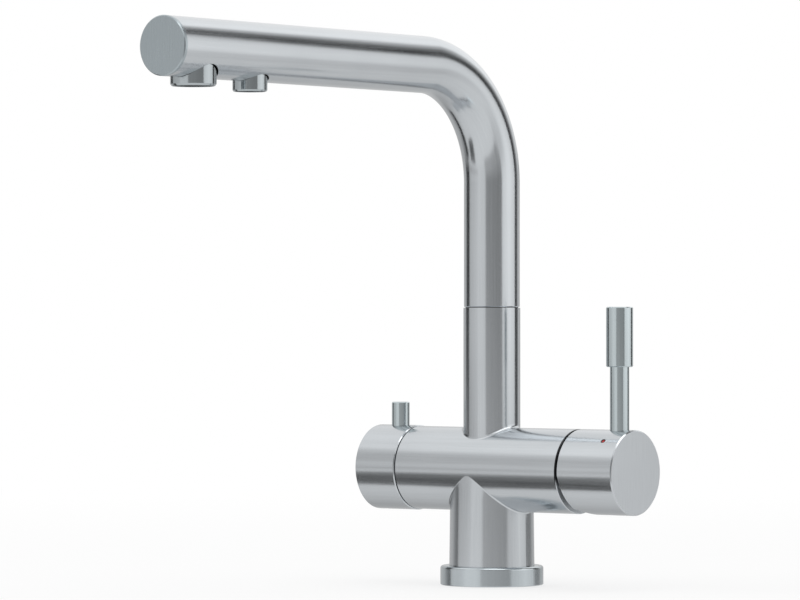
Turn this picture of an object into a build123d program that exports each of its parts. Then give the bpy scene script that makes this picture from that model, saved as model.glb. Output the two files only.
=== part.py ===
from build123d import *
import math
import os

# Three-way kitchen mixer, millimetres. Origin: centre of the base ring on the deck.
# +Z is up, the spout points to -Y, the mixer lever is on +X, the filter knob on -X.

# Spout
spout_dia = 30.0
spout_wall = 1.5
spout_axis_z = 276.6
spout_reach = 266.2
spout_bend_radius = 61.0
end_plate_thickness = 2.0
end_plate_plug = 3.0
end_plate_bevel = 0.5

# Barrel, pedestal and column stub
barrel_axis_z = 61.8
barrel_dia = 45.0
barrel_left = 48.9
barrel_right = 58.8
barrel_bevel = 0.3
pedestal_foot_dia = 45.8
pedestal_top_dia = 44.5
stub_dia = 30.6
stub_top_z = 148.6
stub_seam_fillet = 2.0
pedestal_seam_fillet = 1.0
riser_bore_dia = 17.0
riser_floor_drop = 11.0

# Base ring and gasket
ring_dia = 55.4
ring_height = 10.3
ring_top_round = 1.5
ring_foot_bevel = 0.4
gasket_outer_dia = 52.0
gasket_land = 1.55
gasket_thickness = 2.0

# Body foot and inlet block
foot_wall = 1.95
foot_clear_of_deck = 0.5
block_dia = 37.9
block_bottom_z = 3.0
block_top_z = 20.0
block_seat = 1.45
block_socket_depth = 4.0
ceiling_drop = 20.8
retainer_thickness = 1.4
retainer_depth = 0.9
retainer_overlap = 0.95
retainer_gap = 12.0
hose_thread_dia = 10.0
hose_thread_depth = 11.0
stud_thread_dia = 8.0
stud_thread_depth = 12.0
stud_edge_wall = 1.95
hose_edge_wall = 1.2
mixed_inlet_angle = 41.8

# Water tubes and passages
tube_dia = 8.0
tube_wall = 1.0
tube_socket_depth = 6.0
port_dia = 5.5
port_y = 7.0
port_z = 5.0
mixed_port_dia = 7.0
mixed_port_z = -6.0
filter_passage_dia = 5.0
filter_passage_rise = 14.0

# Fits
fixed_fit = 0.05
running_fit = 0.08
flat_gap = 0.05
free_gap = 0.3
groove_share = 0.6
cut_overrun = 1.0

# Mixing cartridge, measured in from the barrel's right end
cartridge_dia = 35.0
nut_recess = 0.6
nut_length = 7.2
nut_thread_dia = 38.0
nut_slot_width = 4.0
nut_slot_depth = 2.5
nut_slot_count = 4
housing_length = 21.0
housing_wall = 1.2
neck_dia = 26.0
neck_length = 11.0
neck_wall = 2.0
neck_clearance = 0.4
cartridge_base_thickness = 6.0
base_pin_dia = 3.0
base_pin_length = 2.5
base_pin_y = 11.0
base_pin_z = -9.0
port_seal_width = 1.5
port_seal_thickness = 1.2
fixed_disc_gap = 1.3
disc_thickness = 4.0
moving_disc_gap = 2.8
moving_disc_offset = 1.8
disc_cavity_half_width = 5.5
disc_cavity_low = -9.0
disc_cavity_high = 1.5
disc_cavity_depth = 2.2
carrier_thickness = 5.0
carrier_trim = 0.6
rail_width = 3.0
rail_height = 2.0
rail_y = 8.5
rail_half_length = 6.5
rotor_flange_thickness = 5.1
rotor_neck_drop = 0.5
rotor_slot_low = -5.4
rotor_slot_high = 6.4
pivot_depth = 4.0
pivot_pin_dia = 3.0
pivot_pin_end = 1.5
stem_side = 8.0
stem_neck_dia = 5.0
stem_ball_dia = 6.0
stem_ball_lift = 3.0
stem_neck_length = 6.0
stem_socket_play = 0.2
cover_ring_inset = 0.4
cover_ring_taper = 2.6
cover_ring_length = 3.8

# Mixer cap and lever
cap_gap = 0.9
cap_length = 35.1
cap_wall = 2.5
cap_bore_depth = 16.3
cap_end_bevel = 0.6
cap_rim_bevel = 0.25
cap_relief_angle = 10.0
cap_scoop_rise = 3.5
cap_scoop_start = 4.0
cap_scoop_end = 12.7
stem_grip = 8.0
lever_setback = 24.7
rod_dia = 10.2
rod_seat_depth = 2.8
rod_shank_dia = 8.0
rod_shank_length = 10.5
grip_dia = 14.2
rod_exposed = 33.0
grip_length = 31.6
grip_top_thickness = 3.0
grip_bevel = 0.5
mark_dia = 2.2
mark_depth = 1.5
mark_angle = 41.0
set_screw_dia = 5.0
set_screw_sink = 1.2
hex_key_size = 2.5
hex_key_depth = 3.0
cap_screw_setback = 20.3

# Filter knob
knob_gap = 0.5
knob_length = 26.8
knob_rim_rise = 0.5
knob_wall = 3.5
knob_bore_depth = 9.1
knob_bevel = 0.5
pin_setback = 13.2
pin_dia = 9.7
pin_height = 12.5
pin_seat_depth = 2.4
pin_shank_dia = 6.0
pin_shank_length = 9.0
pin_bevel = 0.5
knob_screw_setback = 21.1

# Filter valve headwork, measured in from the barrel's left end
headwork_thread_dia = 21.0
headwork_depth = 22.9
hex_recess_depth = 6.4
hex_recess_dia = 30.0
headwork_hex = 24.0
bonnet_dia = 16.0
bonnet_length = 6.8
headwork_bore_dia = 16.6
headwork_lip = 2.2
outlet_groove_dia = 25.0
outlet_groove_near = 9.0
outlet_groove_far = 14.5
window_width = 9.0
seat_seal_thickness = 3.5
seat_seal_bore = 7.0
filter_disc_thickness = 2.5
filter_disc_hole_dia = 4.4
filter_disc_hole_radius = 4.5
filter_moving_disc_play = 0.3
filter_quarter_turn = 90.0
spindle_dia = 8.0
spindle_fork_length = 5.4
spindle_fork_web = 5.0
spindle_square = 6.0
spindle_square_length = 11.0
spindle_stickout = 1.3
spindle_ring_section = 1.6
spindle_ring_depth = 2.9

# Swivel spigot and spout socket
spigot_dia = 21.0
spigot_bore_dia = 13.0
spigot_thread_dia = 19.0
spigot_thread_length = 17.0
washer_thickness = 1.5
washer_rim = 1.1
spigot_length = 30.0
ring_section = 2.4
ring_low = 7.0
ring_high = 22.0
stop_slot_height = 5.0
stop_slot_depth = 2.0
stop_slot_mid = 14.5
spout_half_turn = 70.0
stop_slot_margin = 1.5
socket_length = 34.0
spout_screw_dia = 4.0
spout_screw_sink = 0.4
spout_key_size = 2.0
spout_key_depth = 2.0

# Filtered-water tube in the spout
coupling_dia = 13.0
coupling_start = 3.0
coupling_length = 14.0
coupling_engagement = 8.0
coupling_land = 1.0
coupling_ring_section = 1.2
riser_bend_radius = 8.0
riser_socket_depth = 3.5
filter_drop_radius = 8.2

# Main outlet with aerator
main_outlet_setback = 23.2
main_outlet_dia = 23.0
main_outlet_drop = 4.0
main_collar_top = 6.0
collar_wall = 1.2
collar_bevel = 0.4
aerator_recess = 0.8
aerator_length = 9.6
aerator_wall = 1.2
aerator_lip = 1.0
screen_thickness = 1.0
screen_hole_dia = 2.0
screen_pitch = 2.5
washer_height = 2.0
washer_width = 1.8

# Filtered-water outlet
outlet_spacing = 43.0
filter_outlet_dia = 17.6
filter_outlet_drop = 5.0
filter_collar_top = 8.4
filter_socket_depth = 2.0
filter_bore_depth = 7.0
filter_insert_recess = 0.8
filter_insert_thickness = 3.0
filter_jet_dia = 2.6
filter_jet_radius = 4.2
filter_jet_count = 6

# Values that follow from the sizes above
low = (Align.CENTER, Align.CENTER, Align.MIN)
barrel_radius = barrel_dia / 2
spout_radius = spout_dia / 2
spout_bore = spout_radius - spout_wall
spout_start_z = stub_top_z + free_gap + flat_gap
spout_bottom = spout_axis_z - spout_radius
barrel_top_z = barrel_axis_z + barrel_radius
pedestal_ceiling_z = barrel_axis_z - ceiling_drop

block_radius = block_dia / 2
foot_radius = block_radius + foot_wall
gasket_inner = foot_radius + fixed_fit + gasket_land
gasket_outer = gasket_outer_dia / 2
hose_pitch_radius = block_radius - hose_edge_wall - hose_thread_dia / 2
stud_pitch_radius = block_radius - stud_edge_wall - stud_thread_dia / 2
mixed_inlet_x = hose_pitch_radius * math.cos(math.radians(mixed_inlet_angle))
mixed_inlet_y = hose_pitch_radius * math.sin(math.radians(mixed_inlet_angle))
filter_inlet_x = -hose_pitch_radius

nut_outer_x = barrel_right - nut_recess
shoulder_x = nut_outer_x - nut_length
housing_x = shoulder_x - housing_length
seat_x = housing_x - cartridge_base_thickness
neck_end_x = shoulder_x + neck_length
pivot_x = neck_end_x - pivot_depth
fixed_disc_end_x = housing_x + disc_thickness
moving_disc_x = fixed_disc_end_x + flat_gap
moving_disc_end_x = moving_disc_x + disc_thickness
carrier_end_x = moving_disc_end_x + carrier_thickness
rotor_x = carrier_end_x + free_gap
rotor_flange_end_x = rotor_x + rotor_flange_thickness
rotor_end_x = neck_end_x - rotor_neck_drop
ball_x = moving_disc_end_x + stem_ball_lift
nut_radius = nut_thread_dia / 2
neck_bore_dia = neck_dia - 2 * neck_wall
housing_bore = cartridge_dia / 2 - housing_wall
moving_disc_radius = housing_bore - moving_disc_gap
cover_ring_radius = nut_radius - cover_ring_inset
disc_z = barrel_axis_z - moving_disc_offset

cap_rim_x = barrel_right + cap_gap
cap_floor_x = cap_rim_x + cap_bore_depth
cap_end_x = cap_rim_x + cap_length
stem_end_x = cap_floor_x + stem_grip
lever_x = cap_rim_x + lever_setback
cap_screw_x = cap_rim_x + cap_screw_setback
grip_bottom_z = barrel_top_z + rod_exposed
grip_top_z = grip_bottom_z + grip_length

knob_rim_x = -barrel_left - knob_gap
knob_radius = barrel_radius + knob_rim_rise
knob_end_x = knob_rim_x - knob_length
knob_top_z = barrel_axis_z + knob_radius
pin_x = knob_rim_x - pin_setback
knob_screw_x = knob_rim_x - knob_screw_setback
knob_floor_x = knob_rim_x - knob_bore_depth
headwork_seat_x = -barrel_left + headwork_depth
hex_floor_x = -barrel_left + hex_recess_depth
bonnet_end_x = -barrel_left - bonnet_length
headwork_x = headwork_seat_x - headwork_lip
spindle_shaft_x = bonnet_end_x - spindle_stickout
spindle_end_x = spindle_shaft_x - spindle_square_length
spindle_ring_x = -barrel_left + spindle_ring_depth
filter_fixed_x = headwork_seat_x - seat_seal_thickness
filter_fixed_end_x = filter_fixed_x - filter_disc_thickness
filter_moving_x = filter_fixed_end_x - flat_gap
filter_moving_end_x = filter_moving_x - filter_disc_thickness
fork_end_x = filter_moving_end_x - spindle_fork_length
headwork_bore_end_x = fork_end_x - free_gap

washer_floor_z = spout_start_z - flat_gap - washer_thickness
spigot_top_z = spout_start_z + spigot_length
stop_slot_z = spout_start_z + stop_slot_mid
spigot_thread_radius = spigot_thread_dia / 2
spigot_radius = spigot_dia / 2
washer_outer = stub_dia / 2 - washer_rim
screw_tip_radius = spigot_radius - stop_slot_depth + free_gap
coupling_z = spigot_top_z + coupling_start
coupling_top_z = coupling_z + coupling_length
riser_top_z = coupling_z + coupling_engagement
filter_tube_start_z = riser_top_z + coupling_land

main_outlet_y = main_outlet_setback - spout_reach
filter_outlet_y = main_outlet_y + outlet_spacing
main_outlet_z = spout_bottom - main_outlet_drop
filter_outlet_z = spout_bottom - filter_outlet_drop
filter_collar_top_z = spout_axis_z - filter_collar_top


def rod_x(radius, x_start, x_end, y=0.0, z=barrel_axis_z):
    start, end = min(x_start, x_end), max(x_start, x_end)
    return Pos(start, y, z) * Rot(0, 90, 0) * Cylinder(radius, end - start, align=low)


def rod_y(radius, y_start, y_end, x, z):
    return Pos(x, y_start, z) * Rot(-90, 0, 0) * Cylinder(radius, y_end - y_start, align=low)


def rod_z(radius, z_start, z_end, x=0.0, y=0.0):
    return Pos(x, y, z_start) * Cylinder(radius, z_end - z_start, align=low)


def pipe_x(outer, inner, x_start, x_end):
    return rod_x(outer, x_start, x_end) - rod_x(inner, x_start, x_end)


def pipe_z(outer, inner, z_start, z_end, x=0.0, y=0.0):
    return rod_z(outer, z_start, z_end, x, y) - rod_z(inner, z_start, z_end, x, y)


def block(x_span, y_span, z_span):
    centre = [(span[0] + span[1]) / 2 for span in (x_span, y_span, z_span)]
    size = [abs(span[1] - span[0]) for span in (x_span, y_span, z_span)]
    return Pos(*centre) * Box(*size)


def turned_x(points):
    # points are (x, radius) pairs, turned about the barrel's axis
    outline = Polyline(*[(x, 0, barrel_axis_z + r) for x, r in points], close=True)
    return revolve(make_face(outline), Axis((0, 0, barrel_axis_z), (1, 0, 0)), 360)


def o_ring_z(groove, section, z):
    return Pos(0, 0, z) * Torus(groove + section / 2, section / 2)


def o_ring_x(groove, section, x):
    return Pos(x, 0, barrel_axis_z) * Rot(0, 90, 0) * Torus(groove + section / 2, section / 2)


def solid_group(solids):
    return Compound(children=list(solids))


def hex_socket_z(size, z_start, z_end, x=0.0):
    prism = extrude(RegularPolygon(size / 2, 6, major_radius=False), z_end - z_start)
    return Pos(x, 0, z_start) * prism


# Body


def body_outside():
    pedestal_height = barrel_axis_z - ring_height
    cone = Cone(pedestal_foot_dia / 2, pedestal_top_dia / 2, pedestal_height, align=low)
    body = Pos(0, 0, ring_height) * cone
    body += rod_x(barrel_radius, -barrel_left, barrel_right)
    body += rod_z(stub_dia / 2, barrel_axis_z, stub_top_z)
    plain = (GeomType.CIRCLE, GeomType.LINE)
    seams = body.edges().filter_by(lambda edge: edge.geom_type not in plain)
    body = fillet(seams.filter_by(lambda edge: edge.center().Z > barrel_axis_z), stub_seam_fillet)
    seams = body.edges().filter_by(lambda edge: edge.geom_type not in plain)
    body = fillet(seams.filter_by(lambda edge: edge.center().Z < barrel_axis_z), pedestal_seam_fillet)
    rims = body.edges().filter_by(GeomType.CIRCLE)
    ends = rims.filter_by(lambda edge: abs(edge.center().X) > barrel_left - barrel_bevel)
    return chamfer(ends, barrel_bevel)


def inlet_places():
    return {
        "hot": (mixed_inlet_x, -mixed_inlet_y),
        "cold": (mixed_inlet_x, mixed_inlet_y),
        "filter": (filter_inlet_x, 0.0),
    }


def supply_passages():
    tube_top = pedestal_ceiling_z + tube_socket_depth
    port_level = barrel_axis_z + port_z
    cuts = []
    for side in (-1, 1):
        y = side * mixed_inlet_y
        cuts.append(rod_z(port_dia / 2, pedestal_ceiling_z, port_level + port_dia / 2, mixed_inlet_x, y))
        cuts.append(rod_z(tube_dia / 2 + fixed_fit, pedestal_ceiling_z, tube_top, mixed_inlet_x, y))
        cuts.append(rod_x(port_dia / 2, mixed_inlet_x, seat_x, side * port_y, port_level))
    cuts.append(rod_z(port_dia / 2, pedestal_ceiling_z, barrel_axis_z, filter_inlet_x))
    cuts.append(rod_z(tube_dia / 2 + fixed_fit, pedestal_ceiling_z, tube_top, filter_inlet_x))
    cuts.append(rod_x(port_dia / 2, headwork_seat_x, filter_inlet_x))
    return cuts


def cartridge_pocket():
    pocket = rod_x(cartridge_dia / 2 + fixed_fit, seat_x, barrel_right)
    pocket += rod_x(nut_radius + fixed_fit, shoulder_x, barrel_right)
    for side in (-1, 1):
        pin_depth = seat_x - base_pin_length - free_gap
        pocket += rod_x(
            base_pin_dia / 2 + fixed_fit, pin_depth, seat_x, side * base_pin_y, barrel_axis_z + base_pin_z
        )
    return pocket


def headwork_pocket():
    pocket = rod_x(headwork_thread_dia / 2, -barrel_left, headwork_seat_x)
    pocket += rod_x(hex_recess_dia / 2, -barrel_left, hex_floor_x)
    near = -barrel_left + outlet_groove_near
    far = -barrel_left + outlet_groove_far
    pocket += rod_x(outlet_groove_dia / 2, near, far)
    passage_x = (near + far) / 2
    passage_z = barrel_axis_z + filter_passage_rise
    radius = filter_passage_dia / 2
    pocket += rod_z(radius, barrel_axis_z, passage_z, passage_x)
    pocket += rod_x(radius, passage_x - radius, -riser_bore_dia / 2, 0.0, passage_z)
    socket_x = -riser_bore_dia / 2 - riser_socket_depth
    pocket += rod_x(tube_dia / 2 + fixed_fit, socket_x, 0.0, 0.0, passage_z)
    return pocket


def body_shell():
    body = body_outside()
    body += rod_z(foot_radius, foot_clear_of_deck, ring_height)
    body -= rod_z(block_radius + fixed_fit, foot_clear_of_deck, block_top_z)
    body -= rod_z(block_radius - block_seat, block_top_z, pedestal_ceiling_z)
    groove = block_radius + retainer_depth
    body -= rod_z(groove, block_bottom_z - retainer_thickness - fixed_fit, block_bottom_z)
    body -= rod_z(riser_bore_dia / 2, barrel_axis_z - riser_floor_drop, stub_top_z)
    body -= rod_x(mixed_port_dia / 2, 0.0, seat_x, 0.0, barrel_axis_z + mixed_port_z)
    body -= cartridge_pocket()
    body -= headwork_pocket()
    for cut in supply_passages():
        body -= cut
    thread_bottom = washer_floor_z - spigot_thread_length
    body -= rod_z(spigot_thread_radius + fixed_fit, thread_bottom - free_gap, stub_top_z)
    body -= rod_z(washer_outer + fixed_fit, washer_floor_z, stub_top_z)
    return body


def base_ring():
    ring = pipe_z(ring_dia / 2, foot_radius + fixed_fit, 0.0, ring_height)
    top_edge = ring.edges().filter_by(GeomType.CIRCLE).group_by(Axis.Z)[-1].sort_by(SortBy.RADIUS)[-1]
    ring = fillet(top_edge, ring_top_round)
    foot_edge = ring.edges().filter_by(GeomType.CIRCLE).group_by(Axis.Z)[0].sort_by(SortBy.RADIUS)[-1]
    ring = chamfer(foot_edge, ring_foot_bevel)
    return ring - pipe_z(gasket_outer, gasket_inner, 0.0, gasket_thickness)


def base_gasket():
    return pipe_z(gasket_outer - fixed_fit, gasket_inner + fixed_fit, 0.0, gasket_thickness)


# Inlets


def inlet_block():
    body = rod_z(block_radius, block_bottom_z, block_top_z)
    for x, y in inlet_places().values():
        body -= rod_z(hose_thread_dia / 2, block_bottom_z, block_bottom_z + hose_thread_depth, x, y)
        body -= rod_z(tube_dia / 2 - tube_wall, block_bottom_z, block_top_z, x, y)
        body -= rod_z(tube_dia / 2 + fixed_fit, block_top_z - block_socket_depth, block_top_z, x, y)
    for y in (-stud_pitch_radius, stud_pitch_radius):
        body -= rod_z(stud_thread_dia / 2, block_bottom_z, block_bottom_z + stud_thread_depth, 0.0, y)
    return body


def inlet_retaining_ring():
    bottom = block_bottom_z - retainer_thickness
    outer = block_radius + retainer_depth - fixed_fit
    ring = pipe_z(outer, block_radius - retainer_overlap, bottom, block_bottom_z)
    return ring - block((-retainer_gap / 2, retainer_gap / 2), (0.0, block_dia), (bottom, block_bottom_z))


def supply_tube(x, y):
    bottom = block_top_z - block_socket_depth
    top = pedestal_ceiling_z + tube_socket_depth
    return pipe_z(tube_dia / 2, tube_dia / 2 - tube_wall, bottom, top, x, y)


# Swivel


def swivel_spigot():
    bore = spigot_bore_dia / 2
    spigot = pipe_z(spigot_radius, bore, washer_floor_z, spigot_top_z)
    spigot += pipe_z(spigot_thread_radius, bore, washer_floor_z - spigot_thread_length, washer_floor_z)
    for height in (ring_low, ring_high):
        z = spout_start_z + height
        groove = spigot_radius - ring_section + fixed_fit
        half_groove = ring_section * groove_share
        spigot -= pipe_z(spigot_radius, groove, z - half_groove, z + half_groove)
    tip_angle = math.degrees(math.asin(spout_screw_dia / 2 / screw_tip_radius))
    half_span = spout_half_turn + tip_angle + stop_slot_margin
    low_z = stop_slot_z - stop_slot_height / 2
    high_z = stop_slot_z + stop_slot_height / 2
    inner = spigot_radius - stop_slot_depth
    outer = spigot_radius + cut_overrun
    outline = Polyline(
        (inner, 0, low_z), (outer, 0, low_z), (outer, 0, high_z), (inner, 0, high_z), close=True
    )
    slot = revolve(make_face(outline), Axis.Z, 2 * half_span)
    return spigot - Rot(0, 0, 90 - half_span) * slot


def spigot_o_rings():
    groove = spigot_radius - ring_section + running_fit
    heights = (spout_start_z + ring_low, spout_start_z + ring_high)
    return solid_group(o_ring_z(groove, ring_section - fixed_fit, z) for z in heights)


def slide_washer():
    inner = spigot_radius + fixed_fit
    return pipe_z(washer_outer, inner, washer_floor_z, washer_floor_z + washer_thickness)


def spout_socket():
    top = spout_start_z + socket_length
    socket = pipe_z(spout_bore - fixed_fit, spigot_radius + running_fit, spout_start_z, top)
    return socket - rod_y(spout_screw_dia / 2 + fixed_fit, 0.0, spout_radius, 0.0, stop_slot_z)


def spout_set_screw():
    outer = spout_radius - spout_screw_sink
    screw = rod_y(spout_screw_dia / 2, screw_tip_radius, outer, 0.0, stop_slot_z)
    key = extrude(RegularPolygon(spout_key_size / 2, 6, major_radius=False), spout_key_depth)
    return screw - Pos(0, outer - spout_key_depth, stop_slot_z) * Rot(-90, 0, 0) * key


# Spout


def spout_path(start_z, end_y):
    return FilletPolyline(
        (0, 0, start_z), (0, 0, spout_axis_z), (0, end_y, spout_axis_z), radius=spout_bend_radius
    )


def spout_tube():
    path = spout_path(spout_start_z, -spout_reach + end_plate_thickness)
    section = Pos(0, 0, spout_start_z) * (Circle(spout_radius) - Circle(spout_bore))
    tube = sweep(section, path=path)
    below = spout_bottom - cut_overrun
    tube -= rod_z(main_outlet_dia / 2 + fixed_fit, below, spout_axis_z, 0.0, main_outlet_y)
    tube -= rod_z(filter_outlet_dia / 2 + fixed_fit, below, spout_axis_z, 0.0, filter_outlet_y)
    return tube - rod_y(spout_screw_dia / 2 + fixed_fit, 0.0, spout_dia, 0.0, stop_slot_z)


def spout_end_plate():
    inner_y = -spout_reach + end_plate_thickness
    plate = rod_y(spout_radius, -spout_reach, inner_y, 0.0, spout_axis_z)
    rim = plate.edges().filter_by(GeomType.CIRCLE).sort_by(Axis.Y)[0]
    plate = chamfer(rim, end_plate_bevel)
    return plate + rod_y(spout_bore - fixed_fit, inner_y, inner_y + end_plate_plug, 0.0, spout_axis_z)


# Filtered-water line


def filter_riser():
    z = barrel_axis_z + filter_passage_rise
    start_x = -riser_bore_dia / 2 - riser_socket_depth
    path = FilletPolyline((start_x, 0, z), (0, 0, z), (0, 0, riser_top_z), radius=riser_bend_radius)
    ring = Circle(tube_dia / 2) - Circle(tube_dia / 2 - tube_wall)
    section = Plane(origin=(start_x, 0, z), z_dir=(1, 0, 0)) * ring
    return sweep(section, path=path)


def filter_coupling():
    body = rod_z(coupling_dia / 2, coupling_z, coupling_top_z)
    body -= rod_z(tube_dia / 2 + running_fit, coupling_z, riser_top_z + free_gap)
    body -= rod_z(tube_dia / 2 - tube_wall, coupling_z, coupling_top_z)
    body -= rod_z(tube_dia / 2 + fixed_fit, filter_tube_start_z, coupling_top_z)
    z = coupling_z + coupling_engagement / 2
    groove = tube_dia / 2 + coupling_ring_section
    half_groove = coupling_ring_section * groove_share
    return body - rod_z(groove, z - half_groove, z + half_groove)


def filter_coupling_o_ring():
    z = coupling_z + coupling_engagement / 2
    return o_ring_z(tube_dia / 2 + running_fit, coupling_ring_section - 2 * running_fit, z)


def filter_spout_tube():
    end_z = filter_collar_top_z - filter_socket_depth
    path = FilletPolyline(
        (0, 0, filter_tube_start_z),
        (0, 0, spout_axis_z),
        (0, filter_outlet_y, spout_axis_z),
        (0, filter_outlet_y, end_z),
        radius=[spout_bend_radius, filter_drop_radius],
    )
    section = Pos(0, 0, filter_tube_start_z) * (Circle(tube_dia / 2) - Circle(tube_dia / 2 - tube_wall))
    return sweep(section, path=path)


# Outlets


def outlet_collar(outer, inner, z_low, z_high, y):
    collar = pipe_z(outer, inner, z_low, z_high, 0.0, y)
    mouth = collar.edges().filter_by(GeomType.CIRCLE).group_by(Axis.Z)[0]
    return chamfer(mouth, collar_bevel)


def aerator_collar():
    outer = main_outlet_dia / 2
    top = spout_axis_z - main_collar_top
    return outlet_collar(outer, outer - collar_wall, main_outlet_z, top, main_outlet_y)


def aerator_insert():
    outer = main_outlet_dia / 2 - collar_wall - fixed_fit
    bottom = main_outlet_z + aerator_recess
    top = bottom + aerator_length
    inner = outer - aerator_wall
    ring = pipe_z(outer, inner, bottom, top, 0.0, main_outlet_y)
    return ring + pipe_z(outer, inner - aerator_lip, bottom, bottom + aerator_lip, 0.0, main_outlet_y)


def aerator_screen():
    radius = main_outlet_dia / 2 - collar_wall - aerator_wall - 2 * fixed_fit
    bottom = main_outlet_z + aerator_recess + aerator_lip
    top = bottom + screen_thickness
    screen = rod_z(radius, bottom, top, 0.0, main_outlet_y)
    reach = radius - aerator_lip - screen_hole_dia / 2
    rows = int(reach / screen_pitch) + 1
    holes = []
    for row in range(-rows, rows + 1):
        y = row * screen_pitch * math.sqrt(3) / 2
        for column in range(-rows, rows + 1):
            x = (column + (row % 2) / 2) * screen_pitch
            if math.hypot(x, y) <= reach:
                holes.append(rod_z(screen_hole_dia / 2, bottom, top, x, main_outlet_y + y))
    return screen - holes


def aerator_washer():
    outer = main_outlet_dia / 2 - collar_wall - fixed_fit
    bottom = main_outlet_z + aerator_recess + aerator_length
    return pipe_z(outer, outer - washer_width, bottom, bottom + washer_height, 0.0, main_outlet_y)


def filter_collar():
    outer = filter_outlet_dia / 2
    collar = outlet_collar(
        outer, tube_dia / 2 - tube_wall, filter_outlet_z, filter_collar_top_z, filter_outlet_y
    )
    bore = outer - collar_wall
    collar -= rod_z(bore, filter_outlet_z, filter_outlet_z + filter_bore_depth, 0.0, filter_outlet_y)
    tube_end = filter_collar_top_z - filter_socket_depth
    return collar - rod_z(tube_dia / 2 + fixed_fit, tube_end, filter_collar_top_z, 0.0, filter_outlet_y)


def filter_insert():
    radius = filter_outlet_dia / 2 - collar_wall - fixed_fit
    bottom = filter_outlet_z + filter_insert_recess
    top = bottom + filter_insert_thickness
    insert = rod_z(radius, bottom, top, 0.0, filter_outlet_y)
    jets = [rod_z(filter_jet_dia / 2, bottom, top, 0.0, filter_outlet_y)]
    for index in range(filter_jet_count):
        angle = 2 * math.pi * index / filter_jet_count
        x = filter_jet_radius * math.cos(angle)
        y = filter_outlet_y + filter_jet_radius * math.sin(angle)
        jets.append(rod_z(filter_jet_dia / 2, bottom, top, x, y))
    return insert - jets


# Mixing cartridge


def inlet_ports(x_start, x_end, wider=0.0):
    ports = []
    for side in (-1, 1):
        ports.append(rod_x(port_dia / 2 + wider, x_start, x_end, side * port_y, barrel_axis_z + port_z))
    ports.append(rod_x(mixed_port_dia / 2 + wider, x_start, x_end, 0.0, barrel_axis_z + mixed_port_z))
    return ports


def cartridge_base():
    base = rod_x(cartridge_dia / 2, seat_x, housing_x)
    for side in (-1, 1):
        y = side * base_pin_y
        base += rod_x(base_pin_dia / 2, seat_x - base_pin_length, seat_x, y, barrel_axis_z + base_pin_z)
    base -= inlet_ports(seat_x, housing_x)
    return base - inlet_ports(seat_x, seat_x + port_seal_thickness, port_seal_width)


def cartridge_port_seals():
    end = seat_x + port_seal_thickness
    rims = inlet_ports(seat_x, end, port_seal_width - fixed_fit)
    return solid_group(rim - bore for rim, bore in zip(rims, inlet_ports(seat_x, end)))


def cartridge_fixed_disc():
    disc = rod_x(housing_bore - fixed_disc_gap, housing_x, fixed_disc_end_x)
    return disc - inlet_ports(housing_x, fixed_disc_end_x)


def cartridge_moving_disc():
    disc = rod_x(moving_disc_radius, moving_disc_x, moving_disc_end_x, 0.0, disc_z)
    cavity = block(
        (moving_disc_x, moving_disc_x + disc_cavity_depth),
        (-disc_cavity_half_width, disc_cavity_half_width),
        (barrel_axis_z + disc_cavity_low, barrel_axis_z + disc_cavity_high),
    )
    return disc - cavity


def rails(half_length, play):
    half = rail_width / 2 + play
    x_span = (carrier_end_x - rail_height - play, rotor_x)
    z_span = (barrel_axis_z - half_length, barrel_axis_z + half_length)
    return [block(x_span, (side * rail_y - half, side * rail_y + half), z_span) for side in (-1, 1)]


def cartridge_disc_carrier():
    carrier = rod_x(moving_disc_radius - carrier_trim, moving_disc_end_x, carrier_end_x, 0.0, disc_z)
    carrier -= rails(2 * moving_disc_radius, free_gap)
    pocket = stem_ball_dia / 2 + stem_socket_play
    return carrier - rod_x(pocket, moving_disc_end_x, carrier_end_x)


def cartridge_rotor():
    rotor = rod_x(housing_bore - free_gap, rotor_x, rotor_flange_end_x)
    rotor += rod_x(neck_bore_dia / 2 - running_fit, rotor_flange_end_x, rotor_end_x)
    for rail in rails(rail_half_length, 0.0):
        rotor += rail
    half = stem_side / 2 + stem_socket_play
    z_span = (barrel_axis_z + rotor_slot_low, barrel_axis_z + rotor_slot_high)
    rotor -= block((rotor_x, rotor_end_x), (-half, half), z_span)
    reach = neck_bore_dia / 2
    return rotor - rod_y(pivot_pin_dia / 2 + fixed_fit / 2, -reach, reach, pivot_x, barrel_axis_z)


def cartridge_pivot_pin():
    reach = neck_bore_dia / 2 - pivot_pin_end
    return rod_y(pivot_pin_dia / 2, -reach, reach, pivot_x, barrel_axis_z)


def cartridge_housing():
    ceiling_x = rotor_flange_end_x + free_gap
    return turned_x([
        (housing_x, housing_bore),
        (housing_x, cartridge_dia / 2),
        (shoulder_x, cartridge_dia / 2),
        (shoulder_x, neck_dia / 2),
        (neck_end_x, neck_dia / 2),
        (neck_end_x, neck_bore_dia / 2),
        (ceiling_x, neck_bore_dia / 2),
        (ceiling_x, housing_bore),
    ])


def cartridge_nut():
    inner = neck_dia / 2 + neck_clearance
    nut = pipe_x(nut_radius, inner, shoulder_x, nut_outer_x)
    slot = block(
        (nut_outer_x - nut_slot_depth, nut_outer_x),
        (-nut_slot_width / 2, nut_slot_width / 2),
        (barrel_axis_z + inner - cut_overrun, barrel_axis_z + nut_radius + cut_overrun),
    )
    centre = Axis((0, 0, barrel_axis_z), (1, 0, 0))
    return nut - [slot.rotate(centre, 360 * index / nut_slot_count) for index in range(nut_slot_count)]


def cartridge_cover_ring():
    inner = neck_dia / 2 + neck_clearance
    end_x = nut_outer_x + cover_ring_length
    return turned_x([
        (nut_outer_x, inner),
        (nut_outer_x, cover_ring_radius),
        (barrel_right, cover_ring_radius),
        (end_x, cover_ring_radius - cover_ring_taper),
        (end_x, inner),
    ])


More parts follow.
